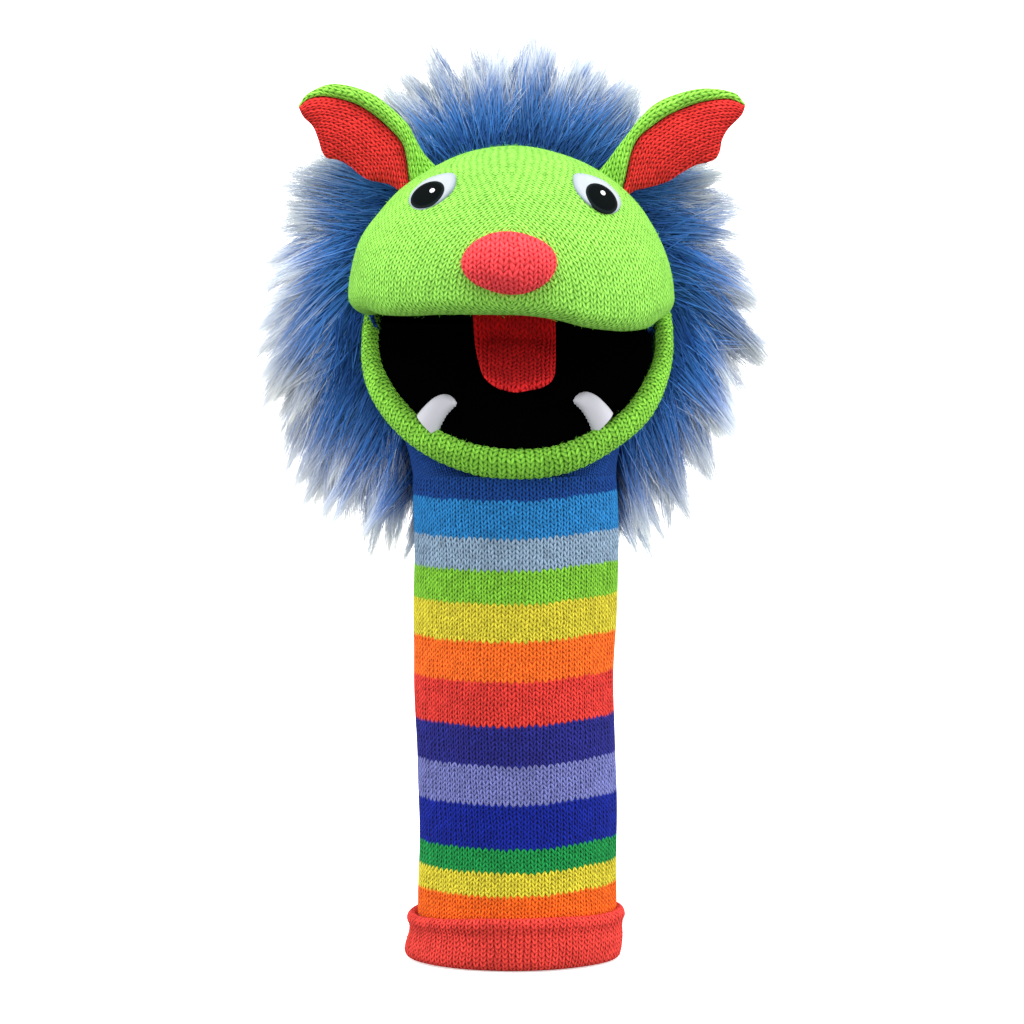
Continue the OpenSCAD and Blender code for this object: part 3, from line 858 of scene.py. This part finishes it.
def lip_line(share):
    """The middle line of the lower lip in the jaw's frame, from the left end (-1) to the right end (1)."""
    bend_half = LIP_PATH_R * math.pi / 2
    straight = 21.5
    s = np.asarray(share, float) * (bend_half + straight)
    angle = np.clip(s / LIP_PATH_R, -math.pi / 2, math.pi / 2)
    back = np.maximum(np.abs(s) - bend_half, 0)
    x = LIP_PATH_R * np.sin(angle)
    x = x + 1.6 + 1.2 * np.clip(x / LIP_PATH_R, 0, 1)
    y = LIP_MIDDLE_Y - LIP_PATH_R * np.cos(angle) + back
    out = np.stack([np.sin(angle), -np.cos(angle)], axis=-1)
    return x, y, out, s


def lower_lip():
    """A knitted band rolled round its filling, with its columns of stitches across it."""
    count = 4 * 98
    share = np.linspace(-1, 1, count)
    x, y, out, s = lip_line(share[:, None])
    a, sh = rings(40, share)
    places = [-1, -0.85, -0.4, 0, 0.4, 0.85, 1]
    half_w = smooth_curve(sh, places, [4.0, 4.3, 4.9, 4.8, 4.8, 4.2, 3.9])
    half_h = smooth_curve(sh, places, [5.0, 6.6, 7.8, 8.3, 7.8, 6.5, 4.9])
    end = np.sqrt(np.clip((1 - np.abs(sh)) / 0.025, 0.02, 1))
    radial = rounded(np.cos(a), 0.9) * half_w * end
    upward = np.sin(a) * half_h * end
    u = s / 3.7 + 100
    base = xyz(s, 40 * np.cos(a) * 0.2, upward)
    swell = 1 + (wale_relief(u, 0.5) + wobble(base, 30, 0.35, 15)) / 6
    radial = radial * swell
    points = xyz(x + out[..., 0] * radial, y + out[..., 1] * radial, LIP_Z + upward * swell)
    v = np.linspace(0, 17, 41)[None]
    return surface("lower_lip", "lip", jaw_place(points), u, v)


lip_piece = ride(lower_lip(), "jaw", "green_knit", "lower_lip_cover", "lower_lip_wadding")


# Width of a column of stitches of the sleeve, and the thickness of its cloth round the neck
SLEEVE_WALE = 2.95
NECK_T = 1.8


def chin():
    """The knitted underside of the jaw."""
    turn = np.linspace(-math.pi / 2 - 0.12, math.pi / 2 + 0.12, 121)
    fall = np.radians(np.linspace(0, 78, 26))
    a, f = np.meshgrid(turn, fall)
    walls = []
    for inward in (0, NECK_T):
        r = (LIP_PATH_R - 0.6) * np.cos(f) - inward
        x = r * np.sin(a)
        y = np.minimum(LIP_MIDDLE_Y - r * np.cos(a), -16)
        z = -10.4 - (19.4 - inward) * np.sin(f)
        base = xyz(x, y, z)
        walls.append(jaw_place(base + normals_of(base) * wobble(base, 35, 0.5, 17)[..., None]))
    u = a * LIP_PATH_R / SLEEVE_WALE + 200
    v = f * 40 / COURSE
    return crisp_rim(build("chin", "neck", two_walls(*walls, u, v, flip=True)))


chin_piece = ride(chin(), "jaw", "neck_knit", "chin_cover")


def throat():
    """Slack fabric from the front of the sleeve to the underside of the jaw."""
    turn = np.linspace(-math.pi / 2, math.pi / 2, 97)
    share = np.linspace(0, 1, 30)
    a, t = np.meshgrid(turn, share)
    w = t[..., None]
    walls = []
    for inward in (0, NECK_T):
        first = xyz(1.1 + (43.5 - inward) * np.sin(a), (inward - 43.5) * np.cos(a), 207.5)
        cup = 12.2 + (21.5 - inward) * np.cos(a)
        last = jaw_place(xyz((60 - inward) * np.sin(a), -16, -cup))
        mid = xyz((45 - inward) * np.sin(a), (inward - 44.5) * np.cos(a), 231 - 24.5 * np.cos(a))
        points = (1 - w) ** 2 * first + 2 * w * (1 - w) * mid + w**2 * last
        points[..., 2] += wobble(points, 38, 0.5, 18) * np.sin(math.pi * t)
        walls.append(points)
    walls = two_walls(*walls, a * 45 / SLEEVE_WALE + 100, t * 50 / COURSE)
    return crisp_rim(build("throat", "neck", walls))


throat_piece = throat()
bend(throat_piece, "head", "jaw", 206, 239, "neck_knit")


def neck_back():
    """The back of the sleeve, which opens out to the sides and back of the head."""
    turn = np.linspace(-0.10, math.pi + 0.10, 121)
    share = np.linspace(0, 1, 36)
    a, t = np.meshgrid(turn, share)
    spread = smoothstep(t, 0.45, 1.0)
    walls = []
    for inward in (0, NECK_T):
        x = (43.3 + 18.2 * spread - inward) * np.cos(a) + 1.1 * (1 - spread)
        y = (43.3 - 0.8 * spread - inward) * np.sin(a) - 2.0 * spread
        base = xyz(x, y, 207.5 + 72 * t)
        walls.append(base + normals_of(base) * wobble(base, 40, 0.4, 19)[..., None])
    walls = two_walls(*walls, a * 45 / SLEEVE_WALE + 100, t * 72 / COURSE, flip=True)
    return crisp_rim(build("neck_back", "neck", walls))


nape_piece = ride(neck_back(), "head", "neck_knit", "nape_cover")


def round_felt(radius, middle_x, middle_y, puckers):
    """A round piece of felt: x and y, and the height of its puckers. Its edge is there twice, to turn in."""
    a, r = rings(144, np.r_[np.linspace(0, 1, 28), 1.0])
    pucker = 0.35 * np.cos(puckers * a) * smoothstep(r, 0.7, 1.0)
    return middle_x + radius * np.cos(a) * r, middle_y + radius * np.sin(a) * r, pucker


def upper_lining():
    """Felt ceiling of the mouth, eased a little where it is sewn in."""
    x, y, pucker = round_felt(59.4, 0, HEAD_Y, 30)
    back_y = FOLD_Y - 2
    far_y = HEAD_Y + np.sqrt(np.maximum(59.5**2 - x**2, 0))
    # what reaches past the back edge hangs down to the fold
    hang = 14.5 * np.clip((y - back_y) / np.maximum(far_y - back_y, 0.5), 0, 1)
    y = np.minimum(y, back_y)
    z = CEILING_Z - 0.2 + wobble(xyz(x, y, 0), 44, 0.35, 21) + pucker
    z[-1] = CEILING_Z + 1.6
    return surface("upper_lining", "felt", xyz(x, y, z - hang))


def lower_lining():
    """Felt floor of the mouth."""
    x, y, pucker = round_felt(58.4, 1.2, LIP_MIDDLE_Y, 28)
    y = np.minimum(y, -2.2)
    z = wobble(xyz(x, y, 0), 40, 0.3, 22) * 0.6 - 0.1 + pucker * 0.6
    z[-1] = -1.6
    points = jaw_place(xyz(x, y, z))
    return surface("lower_lining", "felt", points, flip=True)


ceiling_piece = ride(upper_lining(), "head", "black_felt", "upper_mouth_lining")
floor_piece = ride(lower_lining(), "jaw", "black_felt", "lower_mouth_lining")


def fold():
    """The rolled strip of felt along the hinge of the mouth."""
    xs = np.linspace(-56, 56, 90)
    a, x = rings(20, xs)
    end = np.sqrt(np.clip((56 - np.abs(x)) / 1.8, 0, 1))
    r = (1.8 + wobble(xyz(x, np.cos(a), np.sin(a)), 17, 0.14, 23)) * end
    points = xyz(x, FOLD_Y + r * np.cos(a), FOLD_Z + r * np.sin(a))
    return surface("mouth_fold_roll", "felt", points)


ride(fold(), "head", "black_felt", "mouth_fold")


def tongue():
    """A knitted flap, straight at one side and drawn in at the other, with a rounded tip."""
    stations = np.array([0, 0.35, 0.6, 0.74, 0.85, 0.92, 0.965, 0.99, 1.0])
    left = np.array([-16.8, -15.6, -13.8, -12.2, -9.6, -6.4, -2.8, -0.4, 1.2])
    right = np.array([18.4, 18.6, 18.4, 17.8, 15.8, 12.4, 7.8, 4.4, 2.2])
    share = 1 - (1 - np.linspace(0, 1, 60)) ** 1.25
    lo = smooth_curve(share, stations, left)
    hi = smooth_curve(share, stations, right)
    a, s = rings(72, share)
    middle = ((lo + hi) / 2)[:, None]
    half = ((hi - lo) / 2)[:, None]
    x = middle + half * rounded(np.cos(a), 0.55)
    y = 1.5 - 41.4 * s
    thick = 2.4 * smoothstep(1.02 - s, 0, 0.12)
    arch = 0.9 * (1 - (x / 18) ** 2) + 3.0 * smoothstep(s, 0.6, 1.0)
    sag = wobble(xyz(x, y, 0), 26, 0.3, 25)
    z = 2.1 + np.sin(a) * thick + (arch + sag) * smoothstep(s, 0, 0.2)
    z = z + 7.5 * smoothstep(0.3 - s, 0, 0.3)
    z = z + np.sign(np.sin(a)) * wale_relief(x / 3.5, 0.3) * smoothstep(np.abs(np.sin(a)), 0.2, 0.6)
    u = np.concatenate([x, x[:, :1]], axis=1) / 3.5 + 50
    v = -y[:, :1] / 2.3
    return surface("tongue", "tongue", jaw_place(xyz(x, y, z)), u, v)


tongue_piece = ride(tongue(), "tongue", "red_knit", "tongue_cover", "tongue_interlining")


# The middle line of the right tooth in the jaw's frame, and the angle round it where the seam runs
TOOTH_LINE = [
    (37.5, -52.0, 1.5), (35.3, -49.2, 4.6), (32.4, -46.8, 7.6), (29.0, -45.4, 9.8), (26.2, -45.0, 11.2),
]
SEAM_ANGLE = 2.6


def tooth(side):
    """A stuffed satin fang with an overcast seam down one side."""
    middle, lengths = along(TOOTH_LINE, 34)
    stations = [0, 0.3, 0.6, 0.8, 0.9, 0.96, 0.99, 1.0]
    radius = smooth_curve(lengths / lengths[-1], stations, [6.3, 5.6, 4.6, 3.9, 3.3, 2.3, 1.2, 0.0])
    axis = unit(middle[-1] - middle[0])
    first = unit(np.cross(axis, [0, 0, 1]))
    second = np.cross(axis, first)
    a, r = rings(48, radius)
    from_seam = np.angle(np.exp(1j * (a - SEAM_ANGLE)))
    seam = 0.45 * np.exp(-((from_seam / 0.16) ** 2)) * smoothstep(r, 0, 1.5)
    stitch = 1 + 0.5 * np.sin(lengths * TAU / 1.6)[:, None]
    pinch = -0.25 * np.exp(-((from_seam / 0.5) ** 2))
    base = xyz(np.cos(a) * 4, np.sin(a) * 4, lengths[:, None])
    r = r * (1 + wobble(base, 9, 0.035, 27)) + seam * stitch + pinch * smoothstep(r, 0, 2)
    across, up = (r * np.cos(a))[..., None], (0.82 * r * np.sin(a))[..., None]
    points = middle[:, None] + across * first + up * second
    if side == "left":
        points = points * [-1, 1, 1] + [1.9, -1.9, 0]
    else:
        points = points + [0.6, -0.6, 0]
    v = 0.7 + 0.3 * np.cos(a[0] - SEAM_ANGLE)
    v = np.r_[v, v[0]][None]
    return surface("tooth_" + side, "satin", jaw_place(points), 0.5, v, flip=side == "left")


for side in ("left", "right"):
    fang = ride(tooth(side), "jaw", "tooth_satin", "tooth_cover_" + side, "tooth_wadding_" + side)


# ---------------------------------------------------------------- ears

# Front view of each ear in x and z, from the tip to the root: the outer edge of the green back, the line
# where green meets red, and the lower edge of the red lining
EARS = {
    "left": {
        "outer": [
            (-90.6, 365.8), (-86.5, 371.0), (-75.7, 375.1), (-60.3, 371.5), (-51.5, 365.2), (-44.0, 357.8),
            (-40.6, 351.4), (-36.8, 345.2), (-30.0, 338),
        ],
        "bound": [
            (-90.2, 365.2), (-86.0, 368.6), (-79.5, 369.8), (-67.5, 367.2), (-58.6, 362.1), (-50.9, 355.2),
            (-46.6, 350.0), (-44.8, 343.5), (-43.4, 333.0), (-40, 326),
        ],
        "lower": [
            (-90.2, 364.6), (-88.5, 361.2), (-84.4, 357.0), (-82.1, 351.4), (-80.8, 347.1), (-78.6, 343.8),
            (-74.0, 342.9), (-68.8, 340.3), (-64.5, 336.6), (-60.6, 334.4), (-56.0, 333.4), (-51.7, 332.4),
            (-47.5, 329.5), (-41, 325),
        ],
    },
    "right": {
        "outer": [
            (98.8, 366.6), (94.4, 371.2), (81.6, 373.2), (69.7, 370.8), (60.7, 366.8), (54.3, 360.8),
            (50.4, 355.7), (45.7, 349.7), (38.9, 340.7), (33, 334),
        ],
        "bound": [
            (98.6, 366.0), (92.0, 368.6), (82.1, 367.8), (74.8, 365.7), (66.3, 361.9), (58.6, 356.7),
            (53.4, 352.0), (50.4, 345.5), (47.6, 333.0), (45, 326),
        ],
        "lower": [
            (98.7, 365.2), (97.5, 362.1), (94.6, 359.0), (91.2, 355.4), (89.0, 351.0), (88.2, 346.8),
            (86.4, 343.4), (82.8, 341.8), (78.6, 340.9), (75.2, 339.3), (71.0, 336.9), (66.6, 334.0),
            (61.8, 332.3), (56.4, 330.9), (51.6, 329.6), (46, 325),
        ],
    },
}
EAR_Y = -13.5


def ear(side):
    """The red lining with a padded face, and the green back that is rolled over the upper edge."""
    count = 84
    outer, bound = (along(EARS[side][name], count)[0] for name in ("outer", "bound"))
    lower, travelled = along(EARS[side]["lower"], count)
    share = np.linspace(0, 1, count)[:, None]
    tip = np.sqrt(np.clip(share / 0.1, 0, 1))
    v = 200 - travelled[:, None] / 2.2

    def between(first, last, t, bulge, seed):
        """Cloth from one line to the other, which bulges forwards."""
        x = first[:, :1] * (1 - t) + last[:, :1] * t
        z = first[:, 1:] * (1 - t) + last[:, 1:] * t
        hump = np.sin(math.pi * t) ** 0.6
        cloth = xyz(x, EAR_Y - bulge * hump * tip, z)
        cloth[..., 1] += wobble(cloth, 30, 0.35, seed) * hump * tip
        return cloth

    # red face, padded, with the columns of stitches along the upper edge
    t = np.linspace(0, 1, 52)[None]
    red = between(lower, bound, t, 3.3, 31)
    u_red = (1 - t) * np.linalg.norm(bound - lower, axis=1)[:, None] / 2.8 + 100
    red[..., 1] -= wale_relief(u_red, 0.35) * tip
    # green roll in front of the upper edge
    steps = np.linspace(0, math.pi, 22)[None]
    centre = (outer + bound) / 2
    half = (outer - bound) / 2
    width = np.linalg.norm(half, axis=1)[:, None]
    roll_y = EAR_Y - np.minimum(width, 4.2) * 0.95 * np.sin(steps) * tip
    roll = centre[:, None] - half[:, None] * np.cos(steps)[..., None]
    roll = xyz(roll[..., 0], roll_y, roll[..., 1])
    u_roll = 2 * width * steps / math.pi * 1.25 / 2.9 + 100
    roll[..., 1] -= wale_relief(u_roll, 0.35) * tip
    # green back
    t = np.linspace(0, 1, 60)[None]
    back = between(outer, lower, t, -2.6, 33)
    u_back = t * np.linalg.norm(outer - lower, axis=1)[:, None] / 2.9 + 130
    back[..., 1] += wale_relief(u_back, 0.3) * tip
    turned = side == "left"
    front = surface("ear_front_" + side, "ear_red", red, u_red, v, False, turned)
    green = [grid(roll, u_roll, v, flip=turned), grid(back, u_back, v, flip=turned)]
    shell = build("ear_back_" + side + "_knit", "ear_green", *green)
    ride(front, "ear_" + side, "red_knit", "ear_lining_" + side)
    ride(shell, "ear_" + side, "green_knit", "ear_back_" + side, "ear_wadding_" + side)


for side in ("left", "right"):
    ear(side)


# ---------------------------------------------------------------- mane

def from_right(angles):
    """Angles in the front view, in degrees from the wearer's right through the top, from -90 to 270."""
    return (np.asarray(angles) + 90) % 360 - 90


# Where the outline of the mane and the sewn edge were read, in degrees, and their radii there
REACH_AT = [
    -90, -76, -63, -51, -38, -25, -8, 15, 45, 65, 90, 115, 135, 165, 188, 200, 213, 231, 248, 258, 270,
]
REACH = [
    112, 122, 130, 128, 123, 119, 116, 113, 111, 111, 118, 115, 113, 115, 120, 125, 130, 131, 124, 118, 112,
]
ROOT_AT = [-90, -70, -50, -25, -8, 12, 45, 90, 135, 168, 188, 205, 230, 250, 270]
ROOT = [80, 74, 62, 65, 67, 62, 58, 57, 58, 62, 67, 65, 62, 74, 80]


def mane_point(angle, depth, share, tilt=0.0, front=0.0):
    """A place in the fur: angle in the front view, depth 0 in front to 90 behind, share 0 at the root."""
    a = np.radians(angle)
    d = np.radians(depth)
    root_r = smooth_curve(from_right(angle), ROOT_AT, ROOT) * np.cos(d)
    tip_r = smooth_curve(from_right(angle), REACH_AT, REACH) * np.cos(d) ** 0.85
    r = root_r + (tip_r - root_r) * share
    root_y = 4 + 41 * np.sin(d)
    tip_y = 9 + 74 * np.sin(d)
    y = root_y + (tip_y - root_y) * share + front
    turned = a + np.radians(tilt) * share
    return xyz(r * np.cos(turned), y, MANE_Z + r * np.sin(turned))


def keep_off_sleeve(points, room):
    """Low fur lies behind the sleeve and the neck, not through them."""
    x, y, z = points[..., 0], points[..., 1], points[..., 2]
    behind = np.sqrt(np.maximum(room**2 - x**2, 0))
    low = smoothstep(232 - z, 0, 14)
    y = np.where(np.abs(x) < room, y + (np.maximum(y, behind) - y) * low, y)
    return xyz(x, y, z)


def undercoat():
    """The dense short fur under the long strands."""
    angles = np.linspace(0, 360, 240, endpoint=False)
    depths = np.r_[-24, -12, np.linspace(0, 90, 60)]
    a, d = np.meshgrid(angles, depths)
    inner = np.clip((-d) / 24, 0, 1)
    points = mane_point(a, np.maximum(d, 0), 0.42 * (1 - inner), front=9 * smoothstep(40 - d, 0, 40))
    tuft = 0.5 + 0.5 * np.sin(a * 0.9 + 3 * np.sin(d * 0.3)) * np.cos(d * 0.5)
    lump = wobble(points, 15, 1.6, 41) + wobble(points, 6, 0.7, 42) + tuft
    fade = (1 - inner) * smoothstep(90 - d, -1, 12)
    points = points + unit(points - [0, 10, MANE_Z]) * (lump * fade)[..., None]
    points = keep_off_sleeve(points, 46)
    points[-1] = points[-1].mean(axis=0)
    # painted shade: the hollows between the lumps take the darker colours of the ramp and the tops of the
    # lumps the lighter ones
    v = 0.1 + 0.5 * smoothstep(lump, -3, 3)
    v = np.concatenate([v, v[:, :1]], axis=1)
    return surface("fur_undercoat", "undercoat", points, 0.5, v)


backing_piece = ride(undercoat(), "head", "fur_backing", "mane_backing")


TAPER = np.array([1.0, 0.95, 0.7, 0.38, 0.0])[None, :, None]


def bent_lines(roots, mids, tips):
    """Points of each strand, bent through mid towards the tip."""
    t = np.linspace(0, 1, TAPER.shape[1])[None, :, None]
    return (1 - t) ** 2 * roots[:, None] + 2 * t * (1 - t) * mids[:, None] + t**2 * tips[:, None]


def strands(line, facing, widths, shades):
    """Thin tapered ribbons along the lines, with their flat side towards facing."""
    steps = TAPER.shape[1]
    side = unit(np.cross(unit(np.gradient(line, axis=1)), facing[:, None]))
    half = side * widths[:, None, None] / 2 * TAPER
    count = len(line)
    verts = np.empty((count, 2 * steps - 1, 3))
    verts[:, 0:2 * steps - 2:2] = (line - half)[:, :-1]
    verts[:, 1:2 * steps - 2:2] = (line + half)[:, :-1]
    verts[:, -1] = line[:, -1]
    base = (np.arange(count) * (2 * steps - 1))[:, None, None]
    tris, shares = [], []
    for k in range(steps - 1):
        near, far = k / (steps - 1), (k + 1) / (steps - 1)
        if k < steps - 2:
            tris += [(2 * k, 2 * k + 1, 2 * k + 3), (2 * k, 2 * k + 3, 2 * k + 2)]
            shares += [(near, near, far), (near, far, far)]
        else:
            tris.append((2 * k, 2 * k + 1, 2 * k + 2))
            shares.append((near, near, far))
    faces = (base + np.array(tris)[None]).reshape(-1, 3)
    v = np.broadcast_to(np.array(shares)[None], (count, len(tris), 3)).reshape(-1)
    u = np.repeat(shades, len(tris) * 3)
    return verts.reshape(-1, 3), faces, np.stack([u, v], axis=-1)


def lock_strands(draws, angles, depths, locks, per_lock, spread, gather, lengths):
    """Strands in locks: spread is how wide a lock is rooted, gather what is left of that at its tip."""
    ca = draws.uniform(*angles, locks)
    low, high = np.sin(np.radians(depths))
    cd = np.degrees(np.arcsin(draws.uniform(low, high, locks)))
    narrow = np.maximum(np.cos(np.radians(cd)), 0.12)
    long = draws.uniform(*lengths, locks)
    n = locks * per_lock
    group = np.repeat(np.arange(locks), per_lock)
    off_a = draws.normal(0, spread, n) / narrow[group]
    off_d = draws.normal(0, spread * 0.8, n)
    depth = np.clip(cd[group] + off_d, 0, 89)
    angle = ca[group] + off_a
    central = np.exp(-((off_a * narrow[group] / spread) ** 2) / 2)
    reach = long[group] * (0.72 + 0.28 * central) * (1 - 0.3 * draws.random(n) ** 3)
    # the tips fall: most at the sides of the lower half
    below = np.clip(-np.sin(np.radians(angle)) * 0.5 + 0.5, 0, 1)
    across = np.cos(np.radians(angle))
    lean = -across * (8 + 12 * below - 9 * np.minimum(across, 0)) + draws.normal(0, 7.5, locks)[group]
    front = smoothstep(14 - depth, 0, 14)
    # beside the corners of the mouth the fur keeps behind the ends of the lip
    corner = np.exp(-(((np.sin(np.radians(angle)) + 0.2) / 0.2) ** 2))
    forward = -front * draws.uniform(0, 10, n) * (1 - corner)
    start = draws.uniform(-0.15, 0.2, n)
    start = start - np.minimum(start, 0) * corner
    roots = mane_point(angle - lean * 0.5, depth, start, front=forward)
    keep = np.where(draws.random(n) < 0.12, 0.9, gather)
    tip_depth = np.clip(cd[group] + off_d * keep + front * draws.normal(0, 4, n), 0, 89)
    tips = mane_point(ca[group] + off_a * keep, tip_depth, reach, lean * 0.5)
    steep = np.sin(np.radians(tip_depth))
    drop = (8 + 30 * steep) * reach
    rise = np.clip(np.sin(np.radians(ca[group])), 0, 1)
    drop = drop * (1 - 0.85 * rise * (tip_depth < 50))
    tips[:, 2] -= drop * 0.45
    mids = roots * 0.46 + tips * 0.54
    mids = mids + unit(mids - [0, 0, MANE_Z]) * draws.normal(1.5, 1.2, n)[:, None]
    mids[:, 1] -= front * draws.uniform(0, 5, n)
    mids[:, 2] += drop * 0.35
    mids += draws.normal(0, 0.8, (n, 3)) + draws.normal(0, 2.4, (locks, 3))[group]
    tips += draws.normal(0, 0.7, (n, 3))
    back = smoothstep(depth, 25, 60)[:, None]
    facing = np.array([0, -1.0, 0.25]) * (1 - back) + np.array([0, 0.6, 0.8]) * back
    facing = facing + draws.normal(0, 0.26, (n, 3))
    widths = draws.uniform(0.24, 0.5, n)
    shades = np.clip(draws.normal(0.5, 0.2, locks)[group] + draws.normal(0, 0.1, n), 0, 1)
    line = keep_off_sleeve(bent_lines(roots, mids, tips), draws.uniform(47, 53, n)[:, None])
    return strands(line, facing, widths, shades)


def fur_patch(name, angles, depths, locks, tufts, seed):
    """One stretch of the mane: even short fur below long locks, pointed in front and softer behind."""
    draws = np.random.default_rng(seed)
    gather = 0.17 if depths[0] < 30 else 0.34
    layers = [
        lock_strands(draws, angles, depths, tufts, 30, 3.0, 0.7, (0.42, 0.76)),
        lock_strands(draws, angles, depths, locks, 190, 5.4, gather, (0.76, 1.1)),
    ]
    verts, faces, uvs = layers[0]
    more_verts, more_faces, more_uvs = layers[1]
    faces = np.concatenate([faces, more_faces + len(verts)])
    verts = np.concatenate([verts, more_verts])
    uvs = np.concatenate([uvs, more_uvs])
    # behind, the coat stays bluer towards the tips
    uvs[:, 1] *= 1.0 if depths[0] < 30 else 0.84
    return finish_mesh(name, verts, faces, uvs, "fur")


# Each stretch: its angles in the front view, its depths, and its numbers of long locks and short tufts
FUR = [
    ("fur_front_right", (-74, 40), (0, 13), 72, 260),
    ("fur_front_top", (40, 140), (0, 13), 56, 210),
    ("fur_front_left", (140, 254), (0, 13), 72, 260),
    ("fur_side_right", (-90, 90), (10, 40), 74, 240),
    ("fur_side_left", (90, 270), (10, 40), 74, 240),
    ("fur_back_upper", (0, 180), (38, 89), 78, 280),
    ("fur_back_lower", (180, 360), (38, 89), 78, 280),
]
for index, (name, angles, depths, locks, tufts) in enumerate(FUR):
    fur = ride(fur_patch(name, angles, depths, locks, tufts, 100 + index), "head", "blue_fur")
    if index == 0:
        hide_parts("mane_pile")


# ---------------------------------------------------------------- loose fibres of the yarn

def fuzz(piece, body, slot, material, count, length, seed):
    """Fine fibres that stand off the knitting of a piece."""
    draws = np.random.default_rng(seed)
    mesh = piece.data
    co = np.empty(len(mesh.vertices) * 3, np.float32)
    normal = np.empty(len(mesh.vertices) * 3, np.float32)
    mesh.vertices.foreach_get("co", co)
    mesh.vertices.foreach_get("normal", normal)
    chosen = draws.integers(0, len(mesh.vertices), count)
    roots = co.reshape(-1, 3)[chosen] / MM + draws.normal(0, 0.5, (count, 3))
    out = unit(normal.reshape(-1, 3)[chosen] + draws.normal(0, 0.55, (count, 3)))
    long = draws.uniform(0.5, 1, count)[:, None] ** 2 * length
    tips = roots + out * long + draws.normal(0, 0.5, (count, 3))
    mids = roots + out * long * 0.6 + draws.normal(0, 0.4, (count, 3))
    facing = draws.normal(0, 1, (count, 3))
    line = bent_lines(roots, mids, tips)
    line[..., 2] = np.maximum(line[..., 2], 0.3)
    verts, faces, uvs = strands(line, facing, draws.uniform(0.1, 0.2, count), draws.random(count))
    ride(finish_mesh(piece.name + "_fibres", verts, faces, uvs, material), body, slot)


for name, root, middle, tip in (
    ("green_fibre", rgb(92, 176, 30), rgb(120, 206, 50), (0.35, 0.8, 0.12, 1.0)),
    ("red_fibre", rgb(216, 50, 50), rgb(240, 70, 70), (0.85, 0.2, 0.2, 1.0)),
):
    MATERIALS[name] = fur_paint(name, root, middle, tip)
fuzz(head_piece, "head", "green_knit", "green_fibre", 5200, 2.6, 71)
fuzz(lip_piece, "jaw", "green_knit", "green_fibre", 3000, 2.2, 72)
fuzz(nose_piece, "head", "nose_knit", "red_fibre", 900, 1.8, 73)
fuzz(cuff_piece, "sleeve", "cuff_knit", "red_fibre", 2600, 1.8, 74)


# ---------------------------------------------------------------- inside

def pocket(half_w, half_h, middle_z, front_y, back_y, end, seed):
    """The outer and inner wall of a flat cloth bag, closed and rounded in front and open at the back."""
    a, s = rings(96, np.r_[0, 0.01, 0.03, np.linspace(0.07, 1, 40)])
    ahead = s * (back_y - front_y)
    taper = np.sqrt(np.clip(1 - (1 - np.clip(ahead / end, 0, 1)) ** 2, 0, 1))
    walls = []
    for inward in (0, 1.2):
        across = (half_w - inward) * (0.3 + 0.7 * taper) * np.minimum(1, taper * 3)
        high = (half_h - inward) * np.minimum(1, taper * 1.6)
        x = across * rounded(np.cos(a), 0.6)
        z = high * rounded(np.sin(a), 0.8)
        base = xyz(x, front_y + ahead + inward * (1 - s), z)
        fold = wobble(base, 26, 0.5, seed) + wobble(base, 11, 0.18, seed + 1)
        base[..., 2] += fold * np.minimum(1, taper * 1.6) * np.clip(np.abs(np.sin(a)) * 2, 0, 1) - 0.4
        base[..., 2] += middle_z
        walls.append(base)
    return walls


finger_walls = two_walls(*pocket(36.8, 9.6, 302.6, -80.4, 32, 30, 61), 0.5, 0.5, wrap=True, flip=True)
finger_piece = build("finger_pocket_cloth", "pocket", finger_walls)
ride(finger_piece, "head", "pocket_cloth", "finger_pocket")
thumb_walls = jaw_place(pocket(14.0, 7.6, -13.6, -45.4, -12.5, 13, 63))
thumb_walls = two_walls(*thumb_walls, 0.5, 0.5, wrap=True, flip=True)
thumb_piece = build("thumb_pocket_cloth", "pocket", thumb_walls)
ride(thumb_piece, "jaw", "pocket_cloth", "thumb_pocket")

# the two stiff boards stay as they were drawn, with their own material
for node_name in ("upper_mouth_board", "lower_mouth_board"):
    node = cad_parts[node_name]
    node.data.materials.clear()
    node.data.materials.append(MATERIALS["board"])


# ---------------------------------------------------------------- floor

def stage_paint(name, glow):
    """Pale matt surface that is evenly lit."""
    paint = Paint(name, 0.9)
    cloud = paint.noise(1.5, 2.0)
    colour = paint.mix(cloud, (0.93, 0.93, 0.93, 1), (0.96, 0.96, 0.96, 1))
    paint.plug(paint.shader.inputs["Emission Color"], colour)
    paint.shader.inputs["Emission Strength"].default_value = glow
    return paint.colour(colour)


def seen_only(piece):
    """The camera sees this, and it gives the puppet no light."""
    for ray in ("diffuse", "glossy", "transmission", "volume_scatter", "shadow"):
        setattr(piece, "visible_" + ray, False)


def floor():
    """A pale disc under the puppet."""
    a, r = rings(64, np.r_[0, 0.3, 0.6, 1, 2, 3.5, 6] * 1000)
    return surface("floor", "floor", xyz(r * np.cos(a), r * np.sin(a), -0.05))


def backdrop():
    """A pale dome round the studio."""
    a, t = rings(64, np.linspace(-0.1, math.pi / 2, 24))
    points = 6000 * xyz(np.cos(a) * np.cos(t), np.sin(a) * np.cos(t), np.sin(t))
    return surface("backdrop", "backdrop", points)


MATERIALS["floor"] = stage_paint("floor", 0.6)
MATERIALS["backdrop"] = stage_paint("backdrop", 1.2)
seen_only(floor())
seen_only(backdrop())
